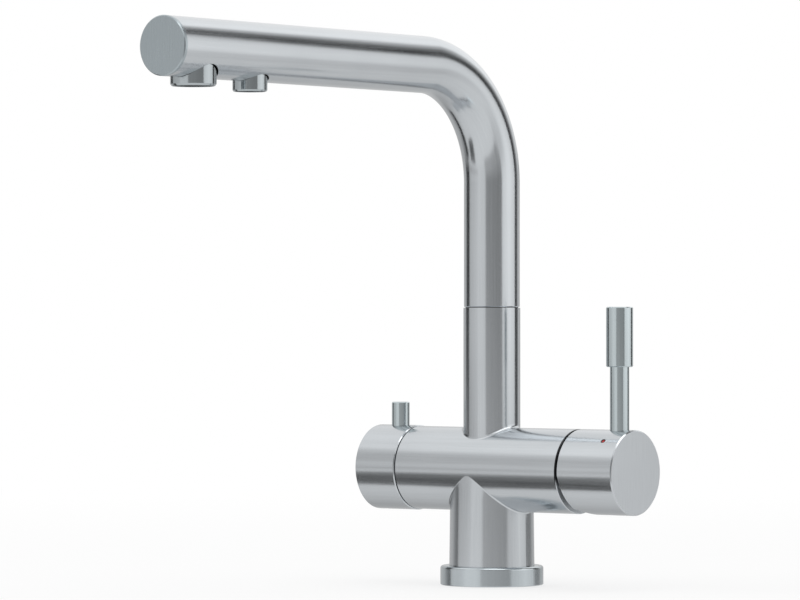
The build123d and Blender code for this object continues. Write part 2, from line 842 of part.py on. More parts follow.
def cartridge_stem():
    half = stem_side / 2
    neck_end = ball_x + stem_neck_length
    centre_z = barrel_axis_z
    stem = block((neck_end, stem_end_x), (-half, half), (centre_z - half, centre_z + half))
    stem += rod_x(stem_neck_dia / 2, ball_x, neck_end)
    stem += Pos(ball_x, 0, centre_z) * Sphere(stem_ball_dia / 2)
    return stem - rod_y(pivot_pin_dia / 2 + running_fit, -half, half, pivot_x, centre_z)


# Mixer cap and lever


def mark_rods(radius, inner):
    rods = []
    for side in (1, -1):
        turn = Pos(lever_x, 0, barrel_axis_z) * Rot(side * mark_angle, 0, 0)
        rods.append(turn * Pos(0, 0, inner) * Cylinder(radius, barrel_radius - inner, align=low))
    return rods


def cap_relief():
    drop = barrel_dia
    bottom_z = barrel_axis_z - drop
    wedge_x = cap_rim_x + drop * math.tan(math.radians(cap_relief_angle))
    wedge = Polyline(
        (cap_rim_x, 0, barrel_axis_z), (cap_rim_x, 0, bottom_z), (wedge_x, 0, bottom_z), close=True
    )
    scoop_z = barrel_axis_z - barrel_radius + cap_scoop_rise
    start_x = barrel_right + cap_scoop_start
    scoop_x = barrel_right + cap_scoop_end
    skin_z = barrel_axis_z - barrel_radius
    scoop = Polyline(
        (barrel_right, 0, scoop_z),
        (start_x, 0, scoop_z),
        (scoop_x, 0, skin_z),
        (scoop_x, 0, bottom_z),
        (barrel_right, 0, bottom_z),
        close=True,
    )
    return [extrude(make_face(outline), barrel_dia, both=True) for outline in (wedge, scoop)]


def mixer_cap():
    cap = rod_x(barrel_radius, cap_rim_x, cap_end_x)
    rims = cap.edges().filter_by(GeomType.CIRCLE).sort_by(Axis.X)
    cap = chamfer(rims[-1], cap_end_bevel)
    rims = cap.edges().filter_by(GeomType.CIRCLE).sort_by(Axis.X)
    cap = chamfer(rims[0], cap_rim_bevel)
    cap -= rod_x(barrel_radius - cap_wall, cap_rim_x, cap_floor_x)
    half = stem_side / 2 + fixed_fit
    z_span = (barrel_axis_z - half, barrel_axis_z + half)
    cap -= block((cap_floor_x, stem_end_x + free_gap), (-half, half), z_span)
    seat_z = barrel_top_z - rod_seat_depth
    cap -= rod_z(rod_dia / 2 + fixed_fit, seat_z, barrel_top_z, lever_x)
    cap -= rod_z(rod_shank_dia / 2 + fixed_fit, seat_z - rod_shank_length - free_gap, seat_z, lever_x)
    cap -= rod_z(set_screw_dia / 2 + fixed_fit, barrel_axis_z - barrel_radius, barrel_axis_z, cap_screw_x)
    cap -= mark_rods(mark_dia / 2 + fixed_fit, barrel_radius - mark_depth)
    return cap - cap_relief()


def set_screw(x, outside_radius, inside_radius):
    bottom = barrel_axis_z - outside_radius + set_screw_sink
    screw = rod_z(set_screw_dia / 2, bottom, barrel_axis_z - inside_radius, x)
    return screw - hex_socket_z(hex_key_size, bottom, bottom + hex_key_depth, x)


def lever_rod():
    seat_z = barrel_top_z - rod_seat_depth
    rod = rod_z(rod_dia / 2, seat_z, grip_top_z - grip_top_thickness, lever_x)
    return rod + rod_z(rod_shank_dia / 2, seat_z - rod_shank_length, seat_z, lever_x)


def lever_grip():
    grip = rod_z(grip_dia / 2, grip_bottom_z, grip_top_z, lever_x)
    grip = chamfer(grip.edges().filter_by(GeomType.CIRCLE), grip_bevel)
    return grip - rod_z(rod_dia / 2 + fixed_fit, grip_bottom_z, grip_top_z - grip_top_thickness, lever_x)


# Filter knob and its valve


def filter_knob():
    knob = rod_x(knob_radius, knob_rim_x, knob_end_x)
    knob = chamfer(knob.edges().filter_by(GeomType.CIRCLE), knob_bevel)
    knob -= rod_x(knob_radius - knob_wall, knob_rim_x, knob_floor_x)
    half = spindle_square / 2 + fixed_fit
    z_span = (barrel_axis_z - half, barrel_axis_z + half)
    knob -= block((spindle_end_x - free_gap, knob_floor_x), (-half, half), z_span)
    seat_z = knob_top_z - pin_seat_depth
    knob -= rod_z(pin_dia / 2 + fixed_fit, seat_z, knob_top_z, pin_x)
    knob -= rod_z(pin_shank_dia / 2 + fixed_fit, seat_z - pin_shank_length - free_gap, seat_z, pin_x)
    screw_hole = set_screw_dia / 2 + fixed_fit
    return knob - rod_z(screw_hole, barrel_axis_z - knob_radius, barrel_axis_z, knob_screw_x)


def filter_pin():
    seat_z = knob_top_z - pin_seat_depth
    pin = rod_z(pin_dia / 2, seat_z, knob_top_z + pin_height, pin_x)
    top = pin.edges().filter_by(GeomType.CIRCLE).sort_by(Axis.Z)[-1]
    return chamfer(top, pin_bevel) + rod_z(pin_shank_dia / 2, seat_z - pin_shank_length, seat_z, pin_x)


def headwork_body():
    thread = headwork_thread_dia / 2 - fixed_fit
    body = rod_x(thread, headwork_x, hex_floor_x)
    prism = extrude(RegularPolygon(headwork_hex / 2, 6, major_radius=False), hex_recess_depth)
    body += Pos(-barrel_left, 0, barrel_axis_z) * Rot(0, 90, 0) * prism
    body += rod_x(bonnet_dia / 2, bonnet_end_x, -barrel_left)
    body -= rod_x(headwork_bore_dia / 2, headwork_x, headwork_bore_end_x)
    body -= rod_x(spindle_dia / 2 + running_fit, headwork_bore_end_x, bonnet_end_x)
    near = -barrel_left + outlet_groove_near
    far = -barrel_left + outlet_groove_far
    half = window_width / 2
    tall = headwork_thread_dia / 2
    return body - block((near, far), (-half, half), (barrel_axis_z - tall, barrel_axis_z + tall))


def headwork_seat_seal():
    return pipe_x(headwork_bore_dia / 2 - fixed_fit, seat_seal_bore / 2, headwork_seat_x, filter_fixed_x)


def filter_disc(radius, x_start, x_end, turn):
    disc = rod_x(radius, x_start, x_end)
    for side in (-1, 1):
        y = side * filter_disc_hole_radius * math.sin(math.radians(turn))
        z = barrel_axis_z + side * filter_disc_hole_radius * math.cos(math.radians(turn))
        disc -= rod_x(filter_disc_hole_dia / 2, x_start, x_end, y, z)
    return disc


def headwork_fixed_disc():
    return filter_disc(headwork_bore_dia / 2 - fixed_fit, filter_fixed_x, filter_fixed_end_x, 0.0)


def headwork_moving_disc():
    radius = headwork_bore_dia / 2 - filter_moving_disc_play
    return filter_disc(radius, filter_moving_x, filter_moving_end_x, filter_quarter_turn)


def headwork_spindle():
    fork_radius = headwork_bore_dia / 2 - filter_moving_disc_play
    spindle = rod_x(fork_radius, filter_moving_end_x, fork_end_x)
    half = spindle_fork_web / 2
    for side in (-1, 1):
        y_span = (side * half, side * headwork_bore_dia)
        z_span = (barrel_axis_z - headwork_bore_dia, barrel_axis_z + headwork_bore_dia)
        spindle -= block((fork_end_x, filter_moving_end_x), y_span, z_span)
    spindle += rod_x(spindle_dia / 2, fork_end_x, spindle_shaft_x)
    side = spindle_square / 2
    z_span = (barrel_axis_z - side, barrel_axis_z + side)
    spindle += block((spindle_end_x, spindle_shaft_x), (-side, side), z_span)
    groove = spindle_dia / 2 - spindle_ring_section + fixed_fit
    half_groove = spindle_ring_section * groove_share
    near, far = spindle_ring_x - half_groove, spindle_ring_x + half_groove
    return spindle - pipe_x(spindle_dia / 2, groove, near, far)


def headwork_spindle_o_ring():
    groove = spindle_dia / 2 - spindle_ring_section + running_fit
    return o_ring_x(groove, spindle_ring_section - fixed_fit, spindle_ring_x)


def all_nodes():
    nodes = {
        "base_ring": base_ring(),
        "base_gasket": base_gasket(),
        "body_shell": body_shell(),
        "inlet_block": inlet_block(),
        "inlet_retaining_ring": inlet_retaining_ring(),
        "swivel_spigot": swivel_spigot(),
        "spigot_o_rings": spigot_o_rings(),
        "slide_washer": slide_washer(),
        "spout_socket": spout_socket(),
        "spout_set_screw": spout_set_screw(),
        "spout_tube": spout_tube(),
        "spout_end_plate": spout_end_plate(),
        "filter_riser": filter_riser(),
        "filter_coupling": filter_coupling(),
        "filter_coupling_o_ring": filter_coupling_o_ring(),
        "filter_spout_tube": filter_spout_tube(),
        "aerator_collar": aerator_collar(),
        "aerator_insert": aerator_insert(),
        "aerator_screen": aerator_screen(),
        "aerator_washer": aerator_washer(),
        "filter_collar": filter_collar(),
        "filter_insert": filter_insert(),
        "cartridge_base": cartridge_base(),
        "cartridge_port_seals": cartridge_port_seals(),
        "cartridge_fixed_disc": cartridge_fixed_disc(),
        "cartridge_moving_disc": cartridge_moving_disc(),
        "cartridge_disc_carrier": cartridge_disc_carrier(),
        "cartridge_rotor": cartridge_rotor(),
        "cartridge_pivot_pin": cartridge_pivot_pin(),
        "cartridge_housing": cartridge_housing(),
        "cartridge_nut": cartridge_nut(),
        "cartridge_cover_ring": cartridge_cover_ring(),
        "cartridge_stem": cartridge_stem(),
        "mixer_cap": mixer_cap(),
        "cap_set_screw": set_screw(cap_screw_x, barrel_radius, stem_side / 2),
        "lever_rod": lever_rod(),
        "lever_grip": lever_grip(),
        "filter_knob": filter_knob(),
        "knob_set_screw": set_screw(knob_screw_x, knob_radius, spindle_square / 2),
        "filter_pin": filter_pin(),
        "headwork_body": headwork_body(),
        "headwork_seat_seal": headwork_seat_seal(),
        "headwork_fixed_disc": headwork_fixed_disc(),
        "headwork_moving_disc": headwork_moving_disc(),
        "headwork_spindle": headwork_spindle(),
        "headwork_spindle_o_ring": headwork_spindle_o_ring(),
    }
    nodes["hot_mark"], nodes["cold_mark"] = mark_rods(mark_dia / 2, barrel_radius - mark_depth)
    for name, (x, y) in inlet_places().items():
        nodes[f"{name}_supply_tube"] = supply_tube(x, y)
    return nodes


os.makedirs("parts", exist_ok=True)
for name, shape in all_nodes().items():
    export_step(shape, f"parts/{name}.step")
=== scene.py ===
import math

import bpy
import numpy as np
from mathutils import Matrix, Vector


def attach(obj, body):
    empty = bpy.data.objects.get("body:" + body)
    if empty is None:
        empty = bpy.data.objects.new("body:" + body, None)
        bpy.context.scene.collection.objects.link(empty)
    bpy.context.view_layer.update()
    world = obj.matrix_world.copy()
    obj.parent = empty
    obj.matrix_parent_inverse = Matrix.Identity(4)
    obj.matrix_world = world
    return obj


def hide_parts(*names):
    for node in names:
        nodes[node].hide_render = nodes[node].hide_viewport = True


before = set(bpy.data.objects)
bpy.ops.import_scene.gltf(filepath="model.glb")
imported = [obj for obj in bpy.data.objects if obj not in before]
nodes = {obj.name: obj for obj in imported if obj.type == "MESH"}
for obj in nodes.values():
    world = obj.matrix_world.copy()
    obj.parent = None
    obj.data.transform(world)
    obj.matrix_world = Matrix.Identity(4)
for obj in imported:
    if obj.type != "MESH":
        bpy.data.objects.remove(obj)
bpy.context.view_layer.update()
scene = bpy.context.scene
scene.view_settings.view_transform = "Standard"
print("frame loaded:", len(nodes), "nodes")

# camera at the photograph's angle
cameraSetup = {
    "place": (1.4241, -1.8657, 0.1425),
    "pitch": 90.25,  # looks a touch above level
    "turn": 38.56,
    "lens": 196.47,
}


def makeCamera():
    data = bpy.data.cameras.new("camera")
    data.lens = cameraSetup["lens"]
    data.sensor_width = 36.0
    data.clip_end = 60.0
    camera = bpy.data.objects.new("camera", data)
    camera.location = cameraSetup["place"]
    camera.rotation_euler = (math.radians(cameraSetup["pitch"]), 0, math.radians(cameraSetup["turn"]))
    scene.collection.objects.link(camera)
    scene.camera = camera


makeCamera()
print("camera set")


mm = 0.001


def newMaterial(name):
    material = bpy.data.materials.new(name)
    material.use_nodes = True
    tree = material.node_tree
    tree.nodes.clear()
    return material, tree


def addNode(tree, kind, **values):
    node = tree.nodes.new(kind)
    for key, value in values.items():
        setattr(node, key, value)
    return node


def meshPiece(name, points, faces, edges=()):
    mesh = bpy.data.meshes.new(name)
    mesh.from_pydata(points, list(edges), faces)
    mesh.update()
    piece = bpy.data.objects.new(name, mesh)
    scene.collection.objects.link(piece)
    return piece


# floor, white surroundings and the soft boxes and flags that the metal mirrors
studio = {
    "floorSize": 30.0,
    "floorZ": -0.0003,
    "floorPaint": (0.93, 0.93, 0.93, 1),
    "floorShare": 0.7,  # plain white by the pedestal, where the rest takes the shadow
    "floorFade": (0.25, 1.3),  # plain white from the second distance on
    "roomLight": 0.85,
    "cardSteps": 33,
    "cardRow": 0.1,
    "lean": (0.45, 0.75, -8.0),  # between these heights the cards turn a little further round
    # stops: degrees round from the camera, its right is +, and the glow there
    # rows: height and share of that glow
    "cards": {
        "frontWall": {"stops": ((-27, 0.45), (41, 0.34)),
                      "rows": ((-0.22, 1.29), (0.0, 1.29), (0.13, 1.04), (0.2, 0.85), (0.3, 0.85),
                               (0.42, 0.95), (0.6, 0.95))},
        "rightBoxNear": {"stops": ((41, 1.02), (75, 1.26)),
                         "rows": ((-0.3, 0.75), (0.02, 0.68), (0.16, 0.97), (1.0, 1.0), (1.15, 1.45),
                                  (1.3, 1.85))},
        "rightBoxFar": {"stops": ((75, 1.26), (108, 0.97)),
                        "rows": ((-0.3, 0.75), (0.02, 0.76), (0.16, 0.97), (1.0, 1.0), (1.15, 1.45),
                                 (1.3, 1.85))},
        "rightFlag": {"stops": ((108, 0.03), (118, 0.05), (124, 0.18), (132, 0.55), (142, 0.95)),
                      "rows": ((0.05, 1.0), (1.7, 1.0))},
        "rightFlagLow": {"stops": ((108, 0.28), (126, 0.28), (142, 0.55)),
                         "rows": ((-0.1, 1.2), (0.05, 1.0))},
        "leftBoxNear": {"stops": ((-60, 0.92), (-27, 0.88)),
                        "rows": ((-0.1, 1.0), (1.1, 0.95))},
        "leftBoxFar": {"stops": ((-106, 0.7), (-60, 0.92)),
                       "rows": ((-0.1, 1.06), (-0.02, 1.0), (0.03, 0.74), (0.07, 0.76), (0.15, 0.98),
                                (0.22, 0.95), (0.3, 0.82), (0.55, 0.82), (0.7, 0.98), (0.85, 1.35),
                                (1.6, 1.5))},
        "leftFlag": {"stops": ((-130, 0.1), (-106, 0.03)),
                     "rows": ((-0.5, 5.0), (0.04, 5.0), (0.12, 1.0), (0.7, 1.0))},
        "backLow": {"stops": ((142, 0.55), (165, 0.6), (180, 0.66), (200, 0.6), (230, 0.57)),
                    "rows": ((-0.3, 1.0), (0.3, 1.0))},
        "backBox": {"stops": ((142, 1.3), (180, 1.1), (200, 0.98), (230, 1.04)),
                    "rows": ((0.3, 0.62), (0.42, 0.8), (0.65, 1.0), (1.9, 1.04))},
        "topBox": {"stops": ((-20, 2.3), (30, 2.5), (108, 2.5)),
                   "rows": ((1.3, 0.7), (1.4, 1.0), (2.4, 1.0))},
        "leftHigh": {"stops": ((230, 1.06), (254, 1.08)),
                     "rows": ((0.7, 0.9), (0.8, 1.0), (1.9, 1.02))},
    },
    # low on the spout's side: height and glow
    "lowFlag": {"y": -1.0, "x": (-1.28, -0.55),
                "rows": ((-1.1, 0.17), (-0.75, 0.13), (-0.5, 0.14), (-0.35, 0.2), (-0.24, 0.28),
                         (-0.12, 0.42))},
    # dark strip behind the inside of the bend: degrees, height, and half its width in both
    "innerFlag": {"glow": 0.02, "reach": 0.97,
                  "path": ((-106, -0.09, 6, -0.02), (-106, -0.2, 6, -0.045), (-110, -0.3, 6, -0.055),
                           (-116, -0.42, 5.5, -0.08), (-124, -0.54, 5, -0.11), (-135, -0.61, 4, -0.12),
                           (-149, -0.6, 2.5, -0.12))},
    # glow across the table, left and right, from behind the faucet to the camera's side
    "table": {"z": -1.2, "size": 6.0, "side": 1.2,
              "rows": ((-1.8, (0.4, 0.76)), (-0.2, (0.86, 0.88)), (1.2, (0.95, 0.95)))},
}


def cardMaterial():
    material, tree = newMaterial("studioCard")
    glow = addNode(tree, "ShaderNodeAttribute", attribute_name="glow")
    light = addNode(tree, "ShaderNodeEmission")
    out = addNode(tree, "ShaderNodeOutputMaterial")
    tree.links.new(glow.outputs["Fac"], light.inputs["Strength"])
    tree.links.new(light.outputs[0], out.inputs["Surface"])
    return material


def asCard(piece, glow, material):
    layer = piece.data.attributes.new("glow", "FLOAT", "POINT")
    layer.data.foreach_set("value", np.array(glow, np.float32))
    piece.data.materials.append(material)
    piece.visible_camera = False
    piece.visible_diffuse = False
    piece.visible_shadow = False


def aroundCamera(degrees):
    # level direction from the faucet, so many degrees to the camera's right
    angle = math.radians(cameraSetup["turn"] + degrees)
    return Vector((math.sin(angle), -math.cos(angle), 0))


def gridFaces(columns, count):
    return [(i * count + j, (i + 1) * count + j, (i + 1) * count + j + 1, i * count + j + 1)
            for i in range(columns - 1) for j in range(count - 1)]


def makeRoundCard(name, card, material):
    stops, rows = np.array(card["stops"]), np.array(card["rows"])
    turns = np.linspace(stops[0, 0], stops[-1, 0], studio["cardSteps"])
    levels = np.interp(turns, stops[:, 0], stops[:, 1])
    heights = np.unique(np.append(rows[:, 0], np.arange(rows[0, 0], rows[-1, 0], studio["cardRow"])))
    shares = np.interp(heights, rows[:, 0], rows[:, 1])
    leanLow, leanHigh, leanTurn = studio["lean"]
    points, glow = [], []
    for degrees, level in zip(turns, levels):
        for z, share in zip(heights, shares):
            lean = leanTurn * np.clip((z - leanLow) / (leanHigh - leanLow), 0, 1)
            place = aroundCamera(degrees + lean)
            points.append((place.x, place.y, z))
            glow.append(level * share)
    asCard(meshPiece(name, points, gridFaces(len(turns), len(heights))), glow, material)


def makeLowFlag(material):
    low = studio["lowFlag"]
    points = [(x, low["y"], z) for x in low["x"] for z, level in low["rows"]]
    glow = [level for x in low["x"] for z, level in low["rows"]]
    asCard(meshPiece("lowFlag", points, gridFaces(2, len(low["rows"]))), glow, material)


def makeInnerFlag(material):
    inner = studio["innerFlag"]
    points = []
    for degrees, z, spread, drop in inner["path"]:
        for side in (-1, 1):
            place = aroundCamera(degrees + side * spread) * inner["reach"]
            points.append((place.x, place.y, z + side * drop))
    faces = gridFaces(len(inner["path"]), 2)
    asCard(meshPiece("innerFlag", points, faces), [inner["glow"]] * len(points), material)


def makeTableCard(material):
    table = studio["table"]
    size, side, rows = table["size"], table["side"], table["rows"]
    rows = ((-size, rows[0][1]), *rows, (size, rows[-1][1]))
    points, glow = [], []
    for along, (left, right) in rows:
        for across, level in ((-size, left), (-side, left), (side, right), (size, right)):
            place = aroundCamera(0) * along + aroundCamera(90) * across
            points.append((place.x, place.y, table["z"]))
            glow.append(level)
    asCard(meshPiece("tableCard", points, gridFaces(len(rows), 4)), glow, material)


def makeCards():
    material = cardMaterial()
    for name, card in studio["cards"].items():
        makeRoundCard(name, card, material)
    makeLowFlag(material)
    makeInnerFlag(material)
    makeTableCard(material)


def makeFloor():
    half, z = studio["floorSize"], studio["floorZ"]
    corners = [(-half, -half, z), (half, -half, z), (half, half, z), (-half, half, z)]
    floor = meshPiece("floor", corners, [(0, 1, 2, 3)])
    material, tree = newMaterial("paleFloor")
    path = addNode(tree, "ShaderNodeLightPath")
    coords = addNode(tree, "ShaderNodeTexCoord")
    reach = addNode(tree, "ShaderNodeVectorMath", operation="LENGTH")
    fade = addNode(tree, "ShaderNodeMapRange", interpolation_type="SMOOTHSTEP")
    fade.inputs["From Min"].default_value, fade.inputs["From Max"].default_value = studio["floorFade"]
    fade.inputs["To Min"].default_value = studio["floorShare"]
    share = addNode(tree, "ShaderNodeMath", operation="MULTIPLY")
    paint = addNode(tree, "ShaderNodeBsdfDiffuse")
    paint.inputs["Color"].default_value = studio["floorPaint"]
    white = addNode(tree, "ShaderNodeEmission")
    white.inputs["Strength"].default_value = 1.0
    mix = addNode(tree, "ShaderNodeMixShader")
    side = addNode(tree, "ShaderNodeNewGeometry")
    clear = addNode(tree, "ShaderNodeBsdfTransparent")
    under = addNode(tree, "ShaderNodeMixShader")  # seen from below it lets the outlets show
    out = addNode(tree, "ShaderNodeOutputMaterial")
    tree.links.new(coords.outputs["Object"], reach.inputs[0])
    tree.links.new(reach.outputs["Value"], fade.inputs["Value"])
    tree.links.new(path.outputs["Is Camera Ray"], share.inputs[0])
    tree.links.new(fade.outputs["Result"], share.inputs[1])
    tree.links.new(share.outputs[0], mix.inputs["Fac"])
    tree.links.new(paint.outputs[0], mix.inputs[1])
    tree.links.new(white.outputs[0], mix.inputs[2])
    tree.links.new(side.outputs["Backfacing"], under.inputs["Fac"])
    tree.links.new(mix.outputs[0], under.inputs[1])
    tree.links.new(clear.outputs[0], under.inputs[2])
    tree.links.new(under.outputs[0], out.inputs["Surface"])
    floor.data.materials.append(material)
    floor.visible_glossy = False  # the cards stand in for it in the metal


def makeWorld():
    world = bpy.data.worlds.new("studioWorld")
    scene.world = world
    world.use_nodes = True
    tree = world.node_tree
    tree.nodes.clear()
    path = addNode(tree, "ShaderNodeLightPath")
    seen = addNode(tree, "ShaderNodeMath", operation="MAXIMUM")
    through = addNode(tree, "ShaderNodeMath", operation="MAXIMUM")
    room = addNode(tree, "ShaderNodeBackground")
    room.inputs["Strength"].default_value = studio["roomLight"]
    white = addNode(tree, "ShaderNodeBackground")
    mix = addNode(tree, "ShaderNodeMixShader")
    out = addNode(tree, "ShaderNodeOutputWorld")
    room.inputs["Color"].default_value = (1, 1, 1, 1)
    white.inputs["Color"].default_value = (1, 1, 1, 1)
    tree.links.new(path.outputs["Is Camera Ray"], seen.inputs[0])
    tree.links.new(path.outputs["Is Glossy Ray"], seen.inputs[1])
    tree.links.new(seen.outputs[0], through.inputs[0])
    tree.links.new(path.outputs["Is Transmission Ray"], through.inputs[1])
    tree.links.new(through.outputs[0], mix.inputs["Fac"])
    tree.links.new(room.outputs[0], mix.inputs[1])
    tree.links.new(white.outputs[0], mix.inputs[2])
    tree.links.new(mix.outputs[0], out.inputs["Surface"])


lamps = {
    "keyLamp": {"place": (-1.6, -1.6, 1.9), "aim": (0, -0.05, 0.1), "size": 1.6, "power": 9.0},
    "topLamp": {"place": (0.5, 0.3, 2.4), "aim": (0, -0.05, 0.1), "size": 2.0, "power": 7.0},
}


def makeLamps():
    for name, lamp in lamps.items():
        data = bpy.data.lights.new(name, "AREA")
        data.shape = "SQUARE"
        data.size = lamp["size"]
        data.energy = lamp["power"]
        light = bpy.data.objects.new(name, data)
        light.location = lamp["place"]
        aim = Vector(lamp["aim"]) - Vector(lamp["place"])
        light.rotation_euler = aim.to_track_quat("-Z", "Y").to_euler()
        light.visible_glossy = False
        scene.collection.objects.link(light)


makeFloor()
makeWorld()
makeCards()
makeLamps()
print("studio set")

# brushed stainless steel: faint streaks along each piece, a little cloudiness over them
steelTone = {"dark": (0.525, 0.55, 0.571), "light": (0.567, 0.593, 0.615)}
# the paler tone on the flat ends of body and barrel is painted light, not a tone of the steel
steelFinishes = {
    "bodySteel": {"along": "body", "shade": (1.0, 1.0, 1.0), "rough": (0.15, 0.21),
                  "flatRough": 0.45, "flatLightLift": 1.25, "paintedSeamShade": 0.06},
    "barrelSteel": {"along": "barrel", "shade": (1.0, 1.0, 1.0), "rough": (0.15, 0.21),
                    "flatRough": 0.17, "flatLightLift": 1.16},
    "columnSteel": {"along": "upright", "shade": (0.975, 1.01, 1.015), "rough": (0.14, 0.2)},
    "spoutSteel": {"along": "tube", "shade": (1.0, 1.0, 1.0), "rough": (0.15, 0.21)},
    "endDiscSteel": {"along": "disc", "shade": (0.73, 0.78, 0.79), "rough": (0.25, 0.28)},
    "leverSteel": {"along": "upright", "shade": (0.97, 1.03, 1.025), "rough": (0.12, 0.17)},
    # the collars' steel is a darker copy of the same steel, painted shade from the spout above them
    "collarSteelShaded": {"along": "upright", "shade": (0.82, 0.85, 0.85), "rough": (0.12, 0.17)},
}
streaks = {
    "slow": 22.0, "fast": 1500.0, "discSlow": 60.0, "detail": 3.0,
    "cloud": 26.0, "cloudDetail": 2.0, "cloudShare": 0.6,
    "toneSpan": (0.45, 1.0), "roughSpan": (0.25, 0.75), "bump": 0.004, "bumpDepth": 0.0001,
}
barrelShape = {
    "axisZ": 0.0618, "radius": 0.0225, "skin": 0.0001, "seam": 0.0008,
    "flatFrom": 0.035, "flatNormal": 0.95,  # where its flat ends begin
}
seamShadowSpan = {"from": 0.0581, "soft": 0.0001, "low": 0.0545, "high": 0.0585}  # painted shade: the narrow part of the cap's seam, where the barrel's edge is darkened


def mapped(tree, source, scale):
    mapping = addNode(tree, "ShaderNodeMapping")
    mapping.inputs["Scale"].default_value = scale
    tree.links.new(source, mapping.inputs["Vector"])
    return mapping.outputs["Vector"]


def mixVectors(tree, factor, first, second):
    mix = addNode(tree, "ShaderNodeMix", data_type="VECTOR")
    tree.links.new(factor, mix.inputs["Factor"])
    tree.links.new(first, mix.inputs[4])
    tree.links.new(second, mix.inputs[5])
    return mix.outputs[1]


def flatShare(tree, coords):
    # faces square to the barrel, out past the pedestal
    tests = []
    for output, limit in (("Normal", barrelShape["flatNormal"]), ("Object", barrelShape["flatFrom"])):
        split = addNode(tree, "ShaderNodeSeparateXYZ")
        size = addNode(tree, "ShaderNodeMath", operation="ABSOLUTE")
        test = addNode(tree, "ShaderNodeMath", operation="GREATER_THAN")
        test.inputs[1].default_value = limit
        tree.links.new(coords.outputs[output], split.inputs[0])
        tree.links.new(split.outputs["X"], size.inputs[0])
        tree.links.new(size.outputs[0], test.inputs[0])
        tests.append(test.outputs[0])
    both = addNode(tree, "ShaderNodeMath", operation="MULTIPLY")
    tree.links.new(tests[0], both.inputs[0])
    tree.links.new(tests[1], both.inputs[1])
    return both.outputs[0]


def seamShadowShare(tree, coords):
    # painted shade: the barrel's last edge before the cap is darkened where the seam is narrow, in place of
    # the gap's shadow
    split = addNode(tree, "ShaderNodeSeparateXYZ")
    tree.links.new(coords.outputs["Object"], split.inputs[0])
    both = addNode(tree, "ShaderNodeMath", operation="MULTIPLY")
    spans = (("X", seamShadowSpan["from"] - seamShadowSpan["soft"], seamShadowSpan["from"]), ("Z", seamShadowSpan["low"], seamShadowSpan["high"]))
    for i, (axis, low, high) in enumerate(spans):
        step = addNode(tree, "ShaderNodeMapRange")
        step.inputs["From Min"].default_value = low
        step.inputs["From Max"].default_value = high
        tree.links.new(split.outputs[axis], step.inputs["Value"])
        tree.links.new(step.outputs["Result"], both.inputs[i])
    return both.outputs[0]


def streakVector(tree, along):
    slow, fast, discSlow = streaks["slow"], streaks["fast"], streaks["discSlow"]
    coords = addNode(tree, "ShaderNodeTexCoord")
    place = coords.outputs["Object"]
    if along == "upright":
        return mapped(tree, place, (fast, fast, slow))
    if along == "disc":
        return mapped(tree, place, (fast, slow, discSlow))
    if along == "tube":
        tube = addNode(tree, "ShaderNodeAttribute", attribute_name="tubePlace")
        return mapped(tree, tube.outputs["Vector"], (slow, fast, fast))
    lengthwise = mapped(tree, place, (slow, fast, fast))
    if along == "barrel":  # the flat end is brushed straight up and down
        upright = mapped(tree, place, (slow, fast, discSlow))
        return mixVectors(tree, flatShare(tree, coords), lengthwise, upright)
    # body: upright streaks wherever the surface stands off the barrel
    offset = addNode(tree, "ShaderNodeVectorMath", operation="MULTIPLY_ADD")
    offset.inputs[1].default_value = (0, 1, 1)
    offset.inputs[2].default_value = (0, 0, -barrelShape["axisZ"])
    reach = addNode(tree, "ShaderNodeVectorMath", operation="LENGTH")
    away = addNode(tree, "ShaderNodeMapRange")
    away.inputs["From Min"].default_value = barrelShape["radius"] + barrelShape["skin"]
    away.inputs["From Max"].default_value = barrelShape["radius"] + barrelShape["seam"]
    tree.links.new(place, offset.inputs[0])
    tree.links.new(offset.outputs[0], reach.inputs[0])
    tree.links.new(reach.outputs["Value"], away.inputs["Value"])
    return mixVectors(tree, away.outputs["Result"], lengthwise, mapped(tree, place, (fast, fast, slow)))


